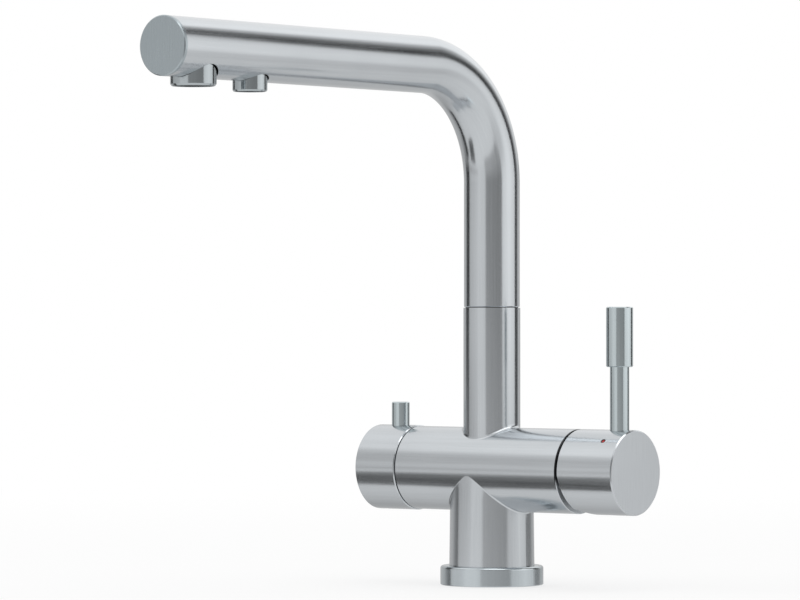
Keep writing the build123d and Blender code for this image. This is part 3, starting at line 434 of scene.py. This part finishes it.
def makeSteel(name, finish):
    material, tree = newMaterial(name)
    grain = addNode(tree, "ShaderNodeTexNoise")
    grain.inputs["Scale"].default_value = 1.0
    grain.inputs["Detail"].default_value = streaks["detail"]
    cloud = addNode(tree, "ShaderNodeTexNoise")
    cloud.inputs["Scale"].default_value = streaks["cloud"]
    cloud.inputs["Detail"].default_value = streaks["cloudDetail"]
    coords = addNode(tree, "ShaderNodeTexCoord")
    both = addNode(tree, "ShaderNodeMath", operation="MULTIPLY_ADD")
    both.inputs[1].default_value = streaks["cloudShare"]
    tone = addNode(tree, "ShaderNodeValToRGB")
    for element, position, depth in zip(tone.color_ramp.elements, streaks["toneSpan"], ("dark", "light")):
        element.position = position
        element.color = (*[part * share for part, share in zip(steelTone[depth], finish["shade"])], 1)
    rough = addNode(tree, "ShaderNodeMapRange")
    rough.inputs["From Min"].default_value, rough.inputs["From Max"].default_value = streaks["roughSpan"]
    rough.inputs["To Min"].default_value, rough.inputs["To Max"].default_value = finish["rough"]
    bump = addNode(tree, "ShaderNodeBump")
    bump.inputs["Strength"].default_value = streaks["bump"]
    bump.inputs["Distance"].default_value = streaks["bumpDepth"]
    steel = addNode(tree, "ShaderNodeBsdfPrincipled")
    steel.inputs["Metallic"].default_value = 1.0
    out = addNode(tree, "ShaderNodeOutputMaterial")
    tree.links.new(streakVector(tree, finish["along"]), grain.inputs["Vector"])
    tree.links.new(coords.outputs["Object"], cloud.inputs["Vector"])
    tree.links.new(cloud.outputs["Fac"], both.inputs[0])
    tree.links.new(grain.outputs["Fac"], both.inputs[2])
    tree.links.new(both.outputs[0], tone.inputs["Fac"])
    tree.links.new(grain.outputs["Fac"], rough.inputs["Value"])
    tree.links.new(grain.outputs["Fac"], bump.inputs["Height"])
    colour, roughness = tone.outputs["Color"], rough.outputs["Result"]
    if "flatRough" in finish:  # the flat ends are duller than the round, and paler by a painted lift of light that makes up for the dark they reflect
        flat = flatShare(tree, coords)
        duller = addNode(tree, "ShaderNodeMath", operation="MULTIPLY_ADD")
        duller.inputs[1].default_value = finish["flatRough"]
        lift = addNode(tree, "ShaderNodeMapRange")
        lift.inputs["To Min"].default_value = 1.0
        lift.inputs["To Max"].default_value = finish["flatLightLift"]
        paler = addNode(tree, "ShaderNodeVectorMath", operation="SCALE")
        tree.links.new(flat, duller.inputs[0])
        tree.links.new(roughness, duller.inputs[2])
        tree.links.new(flat, lift.inputs["Value"])
        tree.links.new(colour, paler.inputs[0])
        tree.links.new(lift.outputs["Result"], paler.inputs["Scale"])
        colour, roughness = paler.outputs[0], duller.outputs[0]
    # painted shade: the barrel's edge by the cap's seam is darkened, in place of the shadow in the gap
    if "paintedSeamShade" in finish:
        shade = addNode(tree, "ShaderNodeMapRange")
        shade.inputs["To Min"].default_value = 1.0
        shade.inputs["To Max"].default_value = finish["paintedSeamShade"]
        darker = addNode(tree, "ShaderNodeVectorMath", operation="SCALE")
        tree.links.new(seamShadowShare(tree, coords), shade.inputs["Value"])
        tree.links.new(colour, darker.inputs[0])
        tree.links.new(shade.outputs["Result"], darker.inputs["Scale"])
        colour = darker.outputs[0]
    tree.links.new(colour, steel.inputs["Base Color"])
    tree.links.new(roughness, steel.inputs["Roughness"])
    tree.links.new(bump.outputs["Normal"], steel.inputs["Normal"])
    tree.links.new(steel.outputs[0], out.inputs["Surface"])
    return material


materials = {name: makeSteel(name, finish) for name, finish in steelFinishes.items()}
print("steel mixed:", ", ".join(materials))

# every other finish: two tones, roughness and a fine surface from stretched noise
finishGrain = {"detail": 4.0, "span": (0.3, 0.7), "bumpDepth": 0.0001}
otherFinishes = {
    "turnedBrass": {"tones": ((0.55, 0.38, 0.15), (0.68, 0.50, 0.23)), "metal": 1.0, "rough": (0.25, 0.38),
                    "stretch": (90, 90, 2400), "bump": 0.05},
    "drawnTube": {"tones": ((0.47, 0.48, 0.49), (0.57, 0.58, 0.59)), "metal": 1.0, "rough": (0.22, 0.32),
                  "stretch": (1600, 1600, 40), "bump": 0.02},
    "blackRubber": {"tones": ((0.01, 0.01, 0.011), (0.03, 0.03, 0.032)), "metal": 0.0, "rough": (0.5, 0.7),
                    "stretch": (900, 900, 900), "bump": 0.12},
    "whitePlastic": {"tones": ((0.76, 0.76, 0.73), (0.83, 0.83, 0.80)), "metal": 0.0, "rough": (0.33, 0.45),
                     "stretch": (420, 420, 420), "bump": 0.05},
    "greyPlastic": {"tones": ((0.10, 0.103, 0.106), (0.15, 0.153, 0.156)), "metal": 0.0, "rough": (0.38, 0.5),
                    "stretch": (700, 700, 700), "bump": 0.06},
    # near-black washer plastic, also darkened as painted shade so the swivel seam reads as a dark line
    "slidePlastic": {"tones": ((0.035, 0.035, 0.037), (0.06, 0.06, 0.063)), "metal": 0.0,
                     "rough": (0.4, 0.55), "stretch": (600, 600, 600), "bump": 0.05},
    "whiteCeramic": {"tones": ((0.84, 0.83, 0.80), (0.89, 0.88, 0.85)), "metal": 0.0, "rough": (0.1, 0.18),
                     "stretch": (260, 260, 260), "bump": 0.01},
    "darkSteel": {"tones": ((0.09, 0.09, 0.095), (0.15, 0.15, 0.155)), "metal": 1.0, "rough": (0.34, 0.5),
                  "stretch": (800, 800, 800), "bump": 0.06},
    "coverSteel": {"tones": ((0.22, 0.225, 0.23), (0.29, 0.295, 0.30)), "metal": 1.0, "rough": (0.5, 0.6),
                   "stretch": (60, 900, 900), "bump": 0.02},
    # rim: the colour of the painted shade round and down the marks' recess
    "redEnamel": {"tones": ((0.42, 0.012, 0.010), (0.58, 0.024, 0.016)), "metal": 0.0, "rough": (0.15, 0.28),
                  "stretch": (1500, 1500, 1500), "bump": 0.05, "rim": (0.012, 0.009, 0.009)},
    "blueEnamel": {"tones": ((0.012, 0.07, 0.34), (0.02, 0.11, 0.48)), "metal": 0.0, "rough": (0.15, 0.28),
                   "stretch": (1500, 1500, 1500), "bump": 0.05, "rim": (0.009, 0.009, 0.012)},
}


def makeFinish(name, look):
    material, tree = newMaterial(name)
    coords = addNode(tree, "ShaderNodeTexCoord")
    grain = addNode(tree, "ShaderNodeTexNoise")
    grain.inputs["Scale"].default_value = 1.0
    grain.inputs["Detail"].default_value = finishGrain["detail"]
    tone = addNode(tree, "ShaderNodeValToRGB")
    for element, position, colour in zip(tone.color_ramp.elements, finishGrain["span"], look["tones"]):
        element.position = position
        element.color = (*colour, 1)
    rough = addNode(tree, "ShaderNodeMapRange")
    rough.inputs["From Min"].default_value, rough.inputs["From Max"].default_value = finishGrain["span"]
    rough.inputs["To Min"].default_value, rough.inputs["To Max"].default_value = look["rough"]
    bump = addNode(tree, "ShaderNodeBump")
    bump.inputs["Strength"].default_value = look["bump"]
    bump.inputs["Distance"].default_value = finishGrain["bumpDepth"]
    shader = addNode(tree, "ShaderNodeBsdfPrincipled")
    shader.inputs["Metallic"].default_value = look["metal"]
    out = addNode(tree, "ShaderNodeOutputMaterial")
    tree.links.new(mapped(tree, coords.outputs["Object"], look["stretch"]), grain.inputs["Vector"])
    tree.links.new(grain.outputs["Fac"], tone.inputs["Fac"])
    tree.links.new(grain.outputs["Fac"], rough.inputs["Value"])
    tree.links.new(grain.outputs["Fac"], bump.inputs["Height"])
    colour = tone.outputs["Color"]
    if "rim" in look:  # painted shade: darkened where the mesh's share says so, round and down the marks' recess
        paintedRecessShade = addNode(tree, "ShaderNodeAttribute", attribute_name="paintedRecessShade")
        mix = addNode(tree, "ShaderNodeMix", data_type="RGBA")
        mix.inputs[7].default_value = (*look["rim"], 1)
        tree.links.new(paintedRecessShade.outputs["Fac"], mix.inputs["Factor"])
        tree.links.new(colour, mix.inputs[6])
        colour = mix.outputs[2]
    tree.links.new(colour, shader.inputs["Base Color"])
    tree.links.new(rough.outputs["Result"], shader.inputs["Roughness"])
    tree.links.new(bump.outputs["Normal"], shader.inputs["Normal"])
    tree.links.new(shader.outputs[0], out.inputs["Surface"])
    return material


materials.update({name: makeFinish(name, look) for name, look in otherFinishes.items()})
print("other finishes mixed:", ", ".join(otherFinishes))

paintPlan = {
    "bodySteel": ["body_shell"],
    "barrelSteel": ["mixer_cap", "filter_knob"],
    "columnSteel": ["base_ring"],
    "endDiscSteel": ["spout_end_plate"],
    "leverSteel": ["lever_rod", "lever_grip", "filter_pin"],
    "turnedBrass": ["inlet_block", "swivel_spigot", "spout_socket", "filter_coupling", "cartridge_nut",
                    "headwork_body", "headwork_spindle"],
    "drawnTube": ["hot_supply_tube", "cold_supply_tube", "filter_supply_tube"],
    "blackRubber": ["base_gasket", "spigot_o_rings", "filter_coupling_o_ring", "aerator_washer",
                    "cartridge_port_seals", "headwork_seat_seal", "headwork_spindle_o_ring"],
    "whitePlastic": ["filter_riser", "filter_spout_tube", "cartridge_base", "cartridge_housing",
                     "cartridge_rotor", "cartridge_disc_carrier"],
    "greyPlastic": ["aerator_insert", "filter_insert"],
    "slidePlastic": ["slide_washer"],
    "whiteCeramic": ["cartridge_fixed_disc", "cartridge_moving_disc", "headwork_fixed_disc",
                     "headwork_moving_disc"],
    "darkSteel": ["cap_set_screw", "knob_set_screw", "spout_set_screw", "inlet_retaining_ring",
                  "cartridge_pivot_pin", "cartridge_stem"],
    "coverSteel": ["cartridge_cover_ring"],
}


def paintNodes():
    for name, nodeNames in paintPlan.items():
        for nodeName in nodeNames:
            mesh = nodes[nodeName].data
            for index in range(len(mesh.materials)):
                mesh.materials[index] = materials[name]


paintNodes()
print("nodes painted")


def newGroup(name, sockets):
    tree = bpy.data.node_groups.new(name, "GeometryNodeTree")
    tree.interface.new_socket(name="Geometry", in_out="INPUT", socket_type="NodeSocketGeometry")
    for label, kind in sockets:
        tree.interface.new_socket(name=label, in_out="INPUT", socket_type="NodeSocket" + kind)
    tree.interface.new_socket(name="Geometry", in_out="OUTPUT", socket_type="NodeSocketGeometry")
    start = addNode(tree, "NodeGroupInput")
    end = addNode(tree, "NodeGroupOutput")
    return tree, start.outputs, end.inputs


def runGroup(piece, tree, values):
    modifier = piece.modifiers.new(tree.name, "NODES")
    modifier.node_group = tree
    for item in tree.interface.items_tree:
        if item.in_out == "INPUT" and item.name in values:
            modifier[item.identifier] = values[item.name]
    finished = bpy.data.meshes.new_from_object(piece.evaluated_get(bpy.context.evaluated_depsgraph_get()))
    finished.name = piece.name
    piece.modifiers.remove(modifier)
    piece.data = finished


def finishGeometry(tree, geometry, smooth, material, end):
    shade = addNode(tree, "GeometryNodeSetShadeSmooth")
    shade.inputs["Shade Smooth"].default_value = smooth
    real = addNode(tree, "GeometryNodeRealizeInstances")
    paint = addNode(tree, "GeometryNodeSetMaterial")
    tree.links.new(geometry, shade.inputs[0])
    tree.links.new(shade.outputs[0], real.inputs[0])
    tree.links.new(real.outputs[0], paint.inputs["Geometry"])
    tree.links.new(material, paint.inputs["Material"])
    tree.links.new(paint.outputs[0], end["Geometry"])


# spout: one bent tube swept along its path, bored through, with its outlet and screw holes
spoutTube = {
    "startZ": 0.14895, "axisZ": 0.2766, "endY": -0.2642, "bevel": {"height": 0.0004, "inset": 0.00034},
    "bendRadius": 0.061, "bendSteps": 72, "roundSteps": 144,
    "radius": 0.015, "wall": 0.0015, "overrun": 0.004, "sameHeight": 0.00001, "wallLean": 0.9,
    "drillDepth": 0.03, "drillOffset": 0.016, "holeSteps": 96,
    "mainHole": {"y": -0.243, "radius": 0.0124},
    "filterHole": {"y": -0.200, "radius": 0.0096},
    "screwHole": {"z": 0.16345, "radius": 0.00205},
}


def sweptTube(tree, start, path, profileRadius):
    fillet = addNode(tree, "GeometryNodeFilletCurve")
    fillet.inputs["Limit Radius"].default_value = True
    fillet.mode = "POLY"
    circle = addNode(tree, "GeometryNodeCurvePrimitiveCircle")
    sweep = addNode(tree, "GeometryNodeCurveToMesh")
    sweep.inputs["Fill Caps"].default_value = True
    tree.links.new(path, fillet.inputs["Curve"])
    tree.links.new(start["bendSteps"], fillet.inputs["Count"])
    tree.links.new(start["bendRadius"], fillet.inputs["Radius"])
    tree.links.new(start["roundSteps"], circle.inputs["Resolution"])
    tree.links.new(profileRadius, circle.inputs["Radius"])
    tree.links.new(fillet.outputs[0], sweep.inputs["Curve"])
    tree.links.new(circle.outputs[0], sweep.inputs["Profile Curve"])
    return sweep.outputs["Mesh"]


def drill(tree, radius, place, turn):
    bit = addNode(tree, "GeometryNodeMeshCylinder")
    bit.inputs["Vertices"].default_value = spoutTube["holeSteps"]
    bit.inputs["Depth"].default_value = spoutTube["drillDepth"]
    tree.links.new(radius, bit.inputs["Radius"])
    move = addNode(tree, "GeometryNodeTransform")
    move.inputs["Rotation"].default_value = turn
    tree.links.new(bit.outputs["Mesh"], move.inputs["Geometry"])
    tree.links.new(place, move.inputs["Translation"])
    return move.outputs[0]


def spoutGroup():
    tree, start, end = newGroup("bentTube", [
        ("radius", "Float"), ("wall", "Float"), ("overrun", "Float"), ("startZ", "Float"), ("bevel", "Float"),
        ("bendRadius", "Float"), ("bendSteps", "Int"), ("roundSteps", "Int"),
        ("mainRadius", "Float"), ("mainPlace", "Vector"),
        ("filterRadius", "Float"), ("filterPlace", "Vector"),
        ("screwRadius", "Float"), ("screwPlace", "Vector"), ("steel", "Material")])
    path = addNode(tree, "GeometryNodeMeshToCurve")
    tree.links.new(start["Geometry"], path.inputs[0])
    outer = sweptTube(tree, start, path.outputs[0], start["radius"])
    # the lower rim is drawn in for its bevel
    spot = addNode(tree, "GeometryNodeInputPosition")
    split = addNode(tree, "ShaderNodeSeparateXYZ")
    rim = addNode(tree, "FunctionNodeCompare", data_type="FLOAT", operation="EQUAL")
    rim.inputs["Epsilon"].default_value = spoutTube["sameHeight"]
    share = addNode(tree, "ShaderNodeMath", operation="DIVIDE")
    inward = addNode(tree, "ShaderNodeCombineXYZ")
    offset = addNode(tree, "ShaderNodeVectorMath", operation="MULTIPLY")
    drawIn = addNode(tree, "GeometryNodeSetPosition")
    minus = addNode(tree, "ShaderNodeMath", operation="MULTIPLY")
    minus.inputs[1].default_value = -1.0
    tree.links.new(spot.outputs[0], split.inputs[0])
    tree.links.new(split.outputs["Z"], rim.inputs[0])
    tree.links.new(start["startZ"], rim.inputs[1])
    tree.links.new(start["bevel"], share.inputs[0])
    tree.links.new(start["radius"], share.inputs[1])
    tree.links.new(share.outputs[0], minus.inputs[0])
    tree.links.new(minus.outputs[0], inward.inputs["X"])
    tree.links.new(minus.outputs[0], inward.inputs["Y"])
    tree.links.new(spot.outputs[0], offset.inputs[0])
    tree.links.new(inward.outputs[0], offset.inputs[1])
    tree.links.new(outer, drawIn.inputs["Geometry"])
    tree.links.new(rim.outputs[0], drawIn.inputs["Selection"])
    tree.links.new(offset.outputs[0], drawIn.inputs["Offset"])
    outer = drawIn.outputs[0]
    # the bore runs a little past both ends
    longer = path.outputs[0]
    tangent = addNode(tree, "GeometryNodeInputTangent")
    for first, last, sign in ((1, 0, -1.0), (0, 1, 1.0)):
        ends = addNode(tree, "GeometryNodeCurveEndpointSelection")
        ends.inputs["Start Size"].default_value = first
        ends.inputs["End Size"].default_value = last
        side = addNode(tree, "ShaderNodeMath", operation="MULTIPLY")
        side.inputs[1].default_value = sign
        step = addNode(tree, "ShaderNodeVectorMath", operation="SCALE")
        shift = addNode(tree, "GeometryNodeSetPosition")
        tree.links.new(start["overrun"], side.inputs[0])
        tree.links.new(tangent.outputs[0], step.inputs[0])
        tree.links.new(side.outputs[0], step.inputs["Scale"])
        tree.links.new(longer, shift.inputs["Geometry"])
        tree.links.new(ends.outputs[0], shift.inputs["Selection"])
        tree.links.new(step.outputs[0], shift.inputs["Offset"])
        longer = shift.outputs[0]
    inside = addNode(tree, "ShaderNodeMath", operation="SUBTRACT")
    tree.links.new(start["radius"], inside.inputs[0])
    tree.links.new(start["wall"], inside.inputs[1])
    bore = sweptTube(tree, start, longer, inside.outputs[0])
    cut = addNode(tree, "GeometryNodeMeshBoolean", operation="DIFFERENCE", solver="EXACT")
    tree.links.new(outer, cut.inputs["Mesh 1"])
    for cutter in (bore,
                   drill(tree, start["mainRadius"], start["mainPlace"], (0, 0, 0)),
                   drill(tree, start["filterRadius"], start["filterPlace"], (0, 0, 0)),
                   drill(tree, start["screwRadius"], start["screwPlace"], (math.pi / 2, 0, 0))):
        tree.links.new(cutter, cut.inputs["Mesh 2"])
    finishGeometry(tree, cut.outputs["Mesh"], True, start["steel"], end)
    return tree


def tubePlaces(points):
    # length along the path, sideways and outwards from its centre line
    bendY, bendZ = -spoutTube["bendRadius"], spoutTube["axisZ"] - spoutTube["bendRadius"]
    y, z = points[:, 1] - bendY, points[:, 2] - bendZ
    upright, level = z < 0, (y < 0) & (z >= 0)
    angle = np.where(upright, 0.0, np.where(level, math.pi / 2, np.arctan2(z, y)))
    length = np.minimum(z, 0) + spoutTube["bendRadius"] * angle + np.where(level, -y, 0)
    outward = np.where(upright, y, np.where(level, z, np.hypot(y, z))) - spoutTube["bendRadius"]
    return length, points[:, 0], outward, angle


def makeSpout():
    tube = spoutTube
    main, small, screw = tube["mainHole"], tube["filterHole"], tube["screwHole"]
    low, high, far = tube["startZ"], tube["axisZ"], tube["endY"]
    path = [(0, 0, low), (0, 0, low + tube["bevel"]["height"]), (0, 0, high), (0, far, high)]
    piece = meshPiece("spoutTube", path, [], edges=[(0, 1), (1, 2), (2, 3)])
    off = tube["drillOffset"]  # each drill goes through one wall only
    runGroup(piece, spoutGroup(), {
        "radius": tube["radius"], "wall": tube["wall"], "overrun": tube["overrun"],
        "startZ": low, "bevel": tube["bevel"]["inset"],
        "bendRadius": tube["bendRadius"], "bendSteps": tube["bendSteps"], "roundSteps": tube["roundSteps"],
        "mainRadius": main["radius"], "mainPlace": (0, main["y"], high - off),
        "filterRadius": small["radius"], "filterPlace": (0, small["y"], high - off),
        "screwRadius": screw["radius"], "screwPlace": (0, off, screw["z"]),
        "steel": materials["spoutSteel"]})
    mesh = piece.data
    points = np.empty(len(mesh.vertices) * 3)
    mesh.vertices.foreach_get("co", points)
    points = points.reshape(-1, 3)
    length, across, outward, angle = tubePlaces(points)
    layer = mesh.attributes.new("tubePlace", "FLOAT_VECTOR", "POINT")
    layer.data.foreach_set("vector", np.stack([length, across, outward], 1).astype(np.float32).ravel())
    # true round normals on the wall, so the cut faces round the holes shade cleanly
    away = np.stack([across, outward * np.cos(angle), outward * np.sin(angle)], 1)
    away /= np.maximum(np.linalg.norm(away, axis=1), 1e-9)[:, None]
    normals = np.empty((len(mesh.loops), 3))
    for face in mesh.polygons:
        for loop in face.loop_indices:
            radial = away[mesh.loops[loop].vertex_index]
            lean = float(np.dot(radial, face.normal))
            onWall = abs(lean) > spoutTube["wallLean"]
            normals[loop] = radial * math.copysign(1, lean) if onWall else face.normal
    mesh.normals_split_custom_set(normals.tolist())
    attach(piece, "spout")
    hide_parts("spout_tube")
    return piece


spout = makeSpout()
print("spout swept:", len(spout.data.polygons), "faces")

# outlet comb: a thin disc with a honeycomb of cells through it
outletComb = {
    "radius": 0.009, "thickness": 0.001, "pitch": 0.00155, "cell": 0.00078, "rim": 0.0017,
    "rows": 17, "rimSteps": 96, "cutterShare": 3.0,  # the cutters stand proud of the disc
    "place": (0, -0.243, 0.2599),
}


def combGroup():
    tree, start, end = newGroup("honeycombDisc", [
        ("radius", "Float"), ("thickness", "Float"), ("pitch", "Float"), ("cell", "Float"), ("rim", "Float"),
        ("place", "Vector"), ("plastic", "Material")])

    def sums(operation, first, second):
        node = addNode(tree, "ShaderNodeMath", operation=operation)
        for index, value in enumerate((first, second)):
            if isinstance(value, (int, float)):
                node.inputs[index].default_value = value
            elif value is not None:
                tree.links.new(value, node.inputs[index])
        return node.outputs[0]

    rowPitch = sums("MULTIPLY", start["pitch"], math.sqrt(3) / 2)
    count = outletComb["rows"]
    grid = addNode(tree, "GeometryNodeMeshGrid")
    grid.inputs["Vertices X"].default_value = count
    grid.inputs["Vertices Y"].default_value = count
    tree.links.new(sums("MULTIPLY", start["pitch"], count - 1), grid.inputs["Size X"])
    tree.links.new(sums("MULTIPLY", rowPitch, count - 1), grid.inputs["Size Y"])
    # every other row moves over by half a cell
    spot = addNode(tree, "GeometryNodeInputPosition")
    split = addNode(tree, "ShaderNodeSeparateXYZ")
    tree.links.new(spot.outputs[0], split.inputs[0])
    row = sums("ROUND", sums("DIVIDE", split.outputs["Y"], rowPitch), None)
    odd = sums("ABSOLUTE", sums("MODULO", row, 2.0), None)
    over = addNode(tree, "ShaderNodeCombineXYZ")
    tree.links.new(sums("MULTIPLY", odd, sums("MULTIPLY", start["pitch"], 0.5)), over.inputs["X"])
    stagger = addNode(tree, "GeometryNodeSetPosition")
    tree.links.new(grid.outputs["Mesh"], stagger.inputs["Geometry"])
    tree.links.new(over.outputs[0], stagger.inputs["Offset"])
    # cells that would run into the rim are dropped
    length = addNode(tree, "ShaderNodeVectorMath", operation="LENGTH")
    tree.links.new(spot.outputs[0], length.inputs[0])
    outside = addNode(tree, "FunctionNodeCompare", data_type="FLOAT", operation="GREATER_THAN")
    tree.links.new(length.outputs["Value"], outside.inputs[0])
    tree.links.new(sums("SUBTRACT", start["radius"], start["rim"]), outside.inputs[1])
    keep = addNode(tree, "GeometryNodeDeleteGeometry", domain="POINT")
    tree.links.new(stagger.outputs[0], keep.inputs["Geometry"])
    tree.links.new(outside.outputs[0], keep.inputs["Selection"])
    cell = addNode(tree, "GeometryNodeMeshCylinder")
    cell.inputs["Vertices"].default_value = 6
    tree.links.new(start["cell"], cell.inputs["Radius"])
    tree.links.new(sums("MULTIPLY", start["thickness"], outletComb["cutterShare"]), cell.inputs["Depth"])
    spread = addNode(tree, "GeometryNodeInstanceOnPoints")
    spread.inputs["Rotation"].default_value = (0, 0, math.pi / 6)
    tree.links.new(keep.outputs[0], spread.inputs["Points"])
    tree.links.new(cell.outputs["Mesh"], spread.inputs["Instance"])
    real = addNode(tree, "GeometryNodeRealizeInstances")
    tree.links.new(spread.outputs[0], real.inputs[0])
    disc = addNode(tree, "GeometryNodeMeshCylinder")
    disc.inputs["Vertices"].default_value = outletComb["rimSteps"]
    tree.links.new(start["radius"], disc.inputs["Radius"])
    tree.links.new(start["thickness"], disc.inputs["Depth"])
    cut = addNode(tree, "GeometryNodeMeshBoolean", operation="DIFFERENCE", solver="EXACT")
    tree.links.new(disc.outputs["Mesh"], cut.inputs["Mesh 1"])
    tree.links.new(real.outputs[0], cut.inputs["Mesh 2"])
    move = addNode(tree, "GeometryNodeTransform")
    tree.links.new(cut.outputs["Mesh"], move.inputs["Geometry"])
    tree.links.new(start["place"], move.inputs["Translation"])
    finishGeometry(tree, move.outputs[0], False, start["plastic"], end)
    return tree


def makeComb():
    piece = meshPiece("outletComb", [(0, 0, 0)], [])
    runGroup(piece, combGroup(), {
        "radius": outletComb["radius"], "thickness": outletComb["thickness"], "pitch": outletComb["pitch"],
        "cell": outletComb["cell"], "rim": outletComb["rim"], "place": outletComb["place"],
        "plastic": materials["greyPlastic"]})
    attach(piece, "spout")
    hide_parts("aerator_screen")
    return piece


comb = makeComb()
print("comb cut:", len(comb.data.polygons), "faces")

# outlet collars: turned rings with a bevelled mouth, radius and height above the mouth in millimetres
collars = {
    "mainCollar": {"node": "aerator_collar", "place": (0, -0.243, 0.2576),
                   "profile": ((10.75, 0), (11.5, 0.95), (11.5, 13), (10.3, 13), (10.3, 0.1), (10.4, 0))},
    "filterCollar": {"node": "filter_collar", "place": (0, -0.200, 0.2566),
                     "profile": ((8.2, 0), (8.8, 0.75), (8.8, 11.6), (4.05, 11.6), (4.05, 9.6), (3, 9.6),
                                 (3, 7), (7.6, 7), (7.6, 0.1), (7.7, 0))},
}
collarFinish = {"steps": 96, "sharpFrom": 25}


def makeCollar(name, collar):
    centre, profile, steps = Vector(collar["place"]), collar["profile"], collarFinish["steps"]
    points = []
    for radius, height in profile:
        for i in range(steps):
            turn = 2 * math.pi * i / steps
            points.append(centre + Vector((radius * math.cos(turn), radius * math.sin(turn), height)) * mm)
    faces = []
    for j in range(len(profile)):
        low, high = j * steps, (j + 1) % len(profile) * steps
        for i in range(steps):
            after = (i + 1) % steps
            faces.append((low + i, low + after, high + after, high + i))
    piece = meshPiece(name, points, faces)
    piece.data.materials.append(materials["collarSteelShaded"])
    piece.data.polygons.foreach_set("use_smooth", [True] * len(piece.data.polygons))
    piece.data.set_sharp_from_angle(angle=math.radians(collarFinish["sharpFrom"]))
    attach(piece, "spout")
    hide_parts(collar["node"])


for name, collar in collars.items():
    makeCollar(name, collar)
print("collars turned")

# hot and cold marks: enamel dished a little way down its hole, with painted shade round and down the recess
marks = {
    "hotMark": {"node": "hot_mark", "slot": "red_enamel", "finish": "redEnamel", "angle": 41.0},
    "coldMark": {"node": "cold_mark", "slot": "blue_enamel", "finish": "blueEnamel", "angle": -41.0},
}
markShape = {
    "x": 0.0844, "steps": 48, "sharpFrom": 35,
    # radius and height in millimetres from the cap's surface, and how much painted shade darkens it there
    "profile": ((0, -1.5, 1), (1.08, -1.5, 1), (1.08, -0.02, 1), (1.42, -0.02, 1), (1.42, 0.04, 1),
                (1.2, 0.05, 1), (1.0, -0.12, 1), (0.86, -0.28, 0.5), (0.55, -0.34, 0), (0, -0.36, 0)),
}


def makeMark(name, mark):
    angle = math.radians(mark["angle"])
    out = Vector((0, -math.sin(angle), math.cos(angle)))
    side, across = Vector((1, 0, 0)), Vector((0, math.cos(angle), math.sin(angle)))
    centre = Vector((markShape["x"], 0, barrelShape["axisZ"])) + out * barrelShape["radius"]
    profile, steps = markShape["profile"], markShape["steps"]
    points, dark = [centre + out * (profile[0][1] * mm)], [profile[0][2]]
    for radius, height, shade in profile[1:-1]:
        for i in range(steps):
            turn = 2 * math.pi * i / steps
            reach = radius * mm * math.sin(turn)
            drop = reach * reach / (2 * barrelShape["radius"])  # follows the cap's curve
            spot = centre + side * (radius * mm * math.cos(turn)) + across * reach
            points.append(spot + out * (height * mm - drop))
            dark.append(shade)
    points.append(centre + out * (profile[-1][1] * mm))
    dark.append(profile[-1][2])
    rings, last = len(profile) - 2, len(points) - 1
    faces = [(0, 1 + (i + 1) % steps, 1 + i) for i in range(steps)]
    for j in range(rings - 1):
        for i in range(steps):
            first, after = 1 + j * steps + i, 1 + j * steps + (i + 1) % steps
            faces.append((first, after, after + steps, first + steps))
    base = 1 + (rings - 1) * steps
    faces += [(base + i, base + (i + 1) % steps, last) for i in range(steps)]
    piece = meshPiece(name, points, faces)
    piece.data.materials.append(materials[mark["finish"]])
    piece.data.polygons.foreach_set("use_smooth", [True] * len(piece.data.polygons))
    piece.data.set_sharp_from_angle(angle=math.radians(markShape["sharpFrom"]))
    # share of painted shade at each point of the mark
    layer = piece.data.attributes.new("paintedRecessShade", "FLOAT", "POINT")
    layer.data.foreach_set("value", dark)
    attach(piece, "lever")
    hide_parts(mark["node"])


for name, mark in marks.items():
    makeMark(name, mark)
print("marks set")

print("pieces ready")
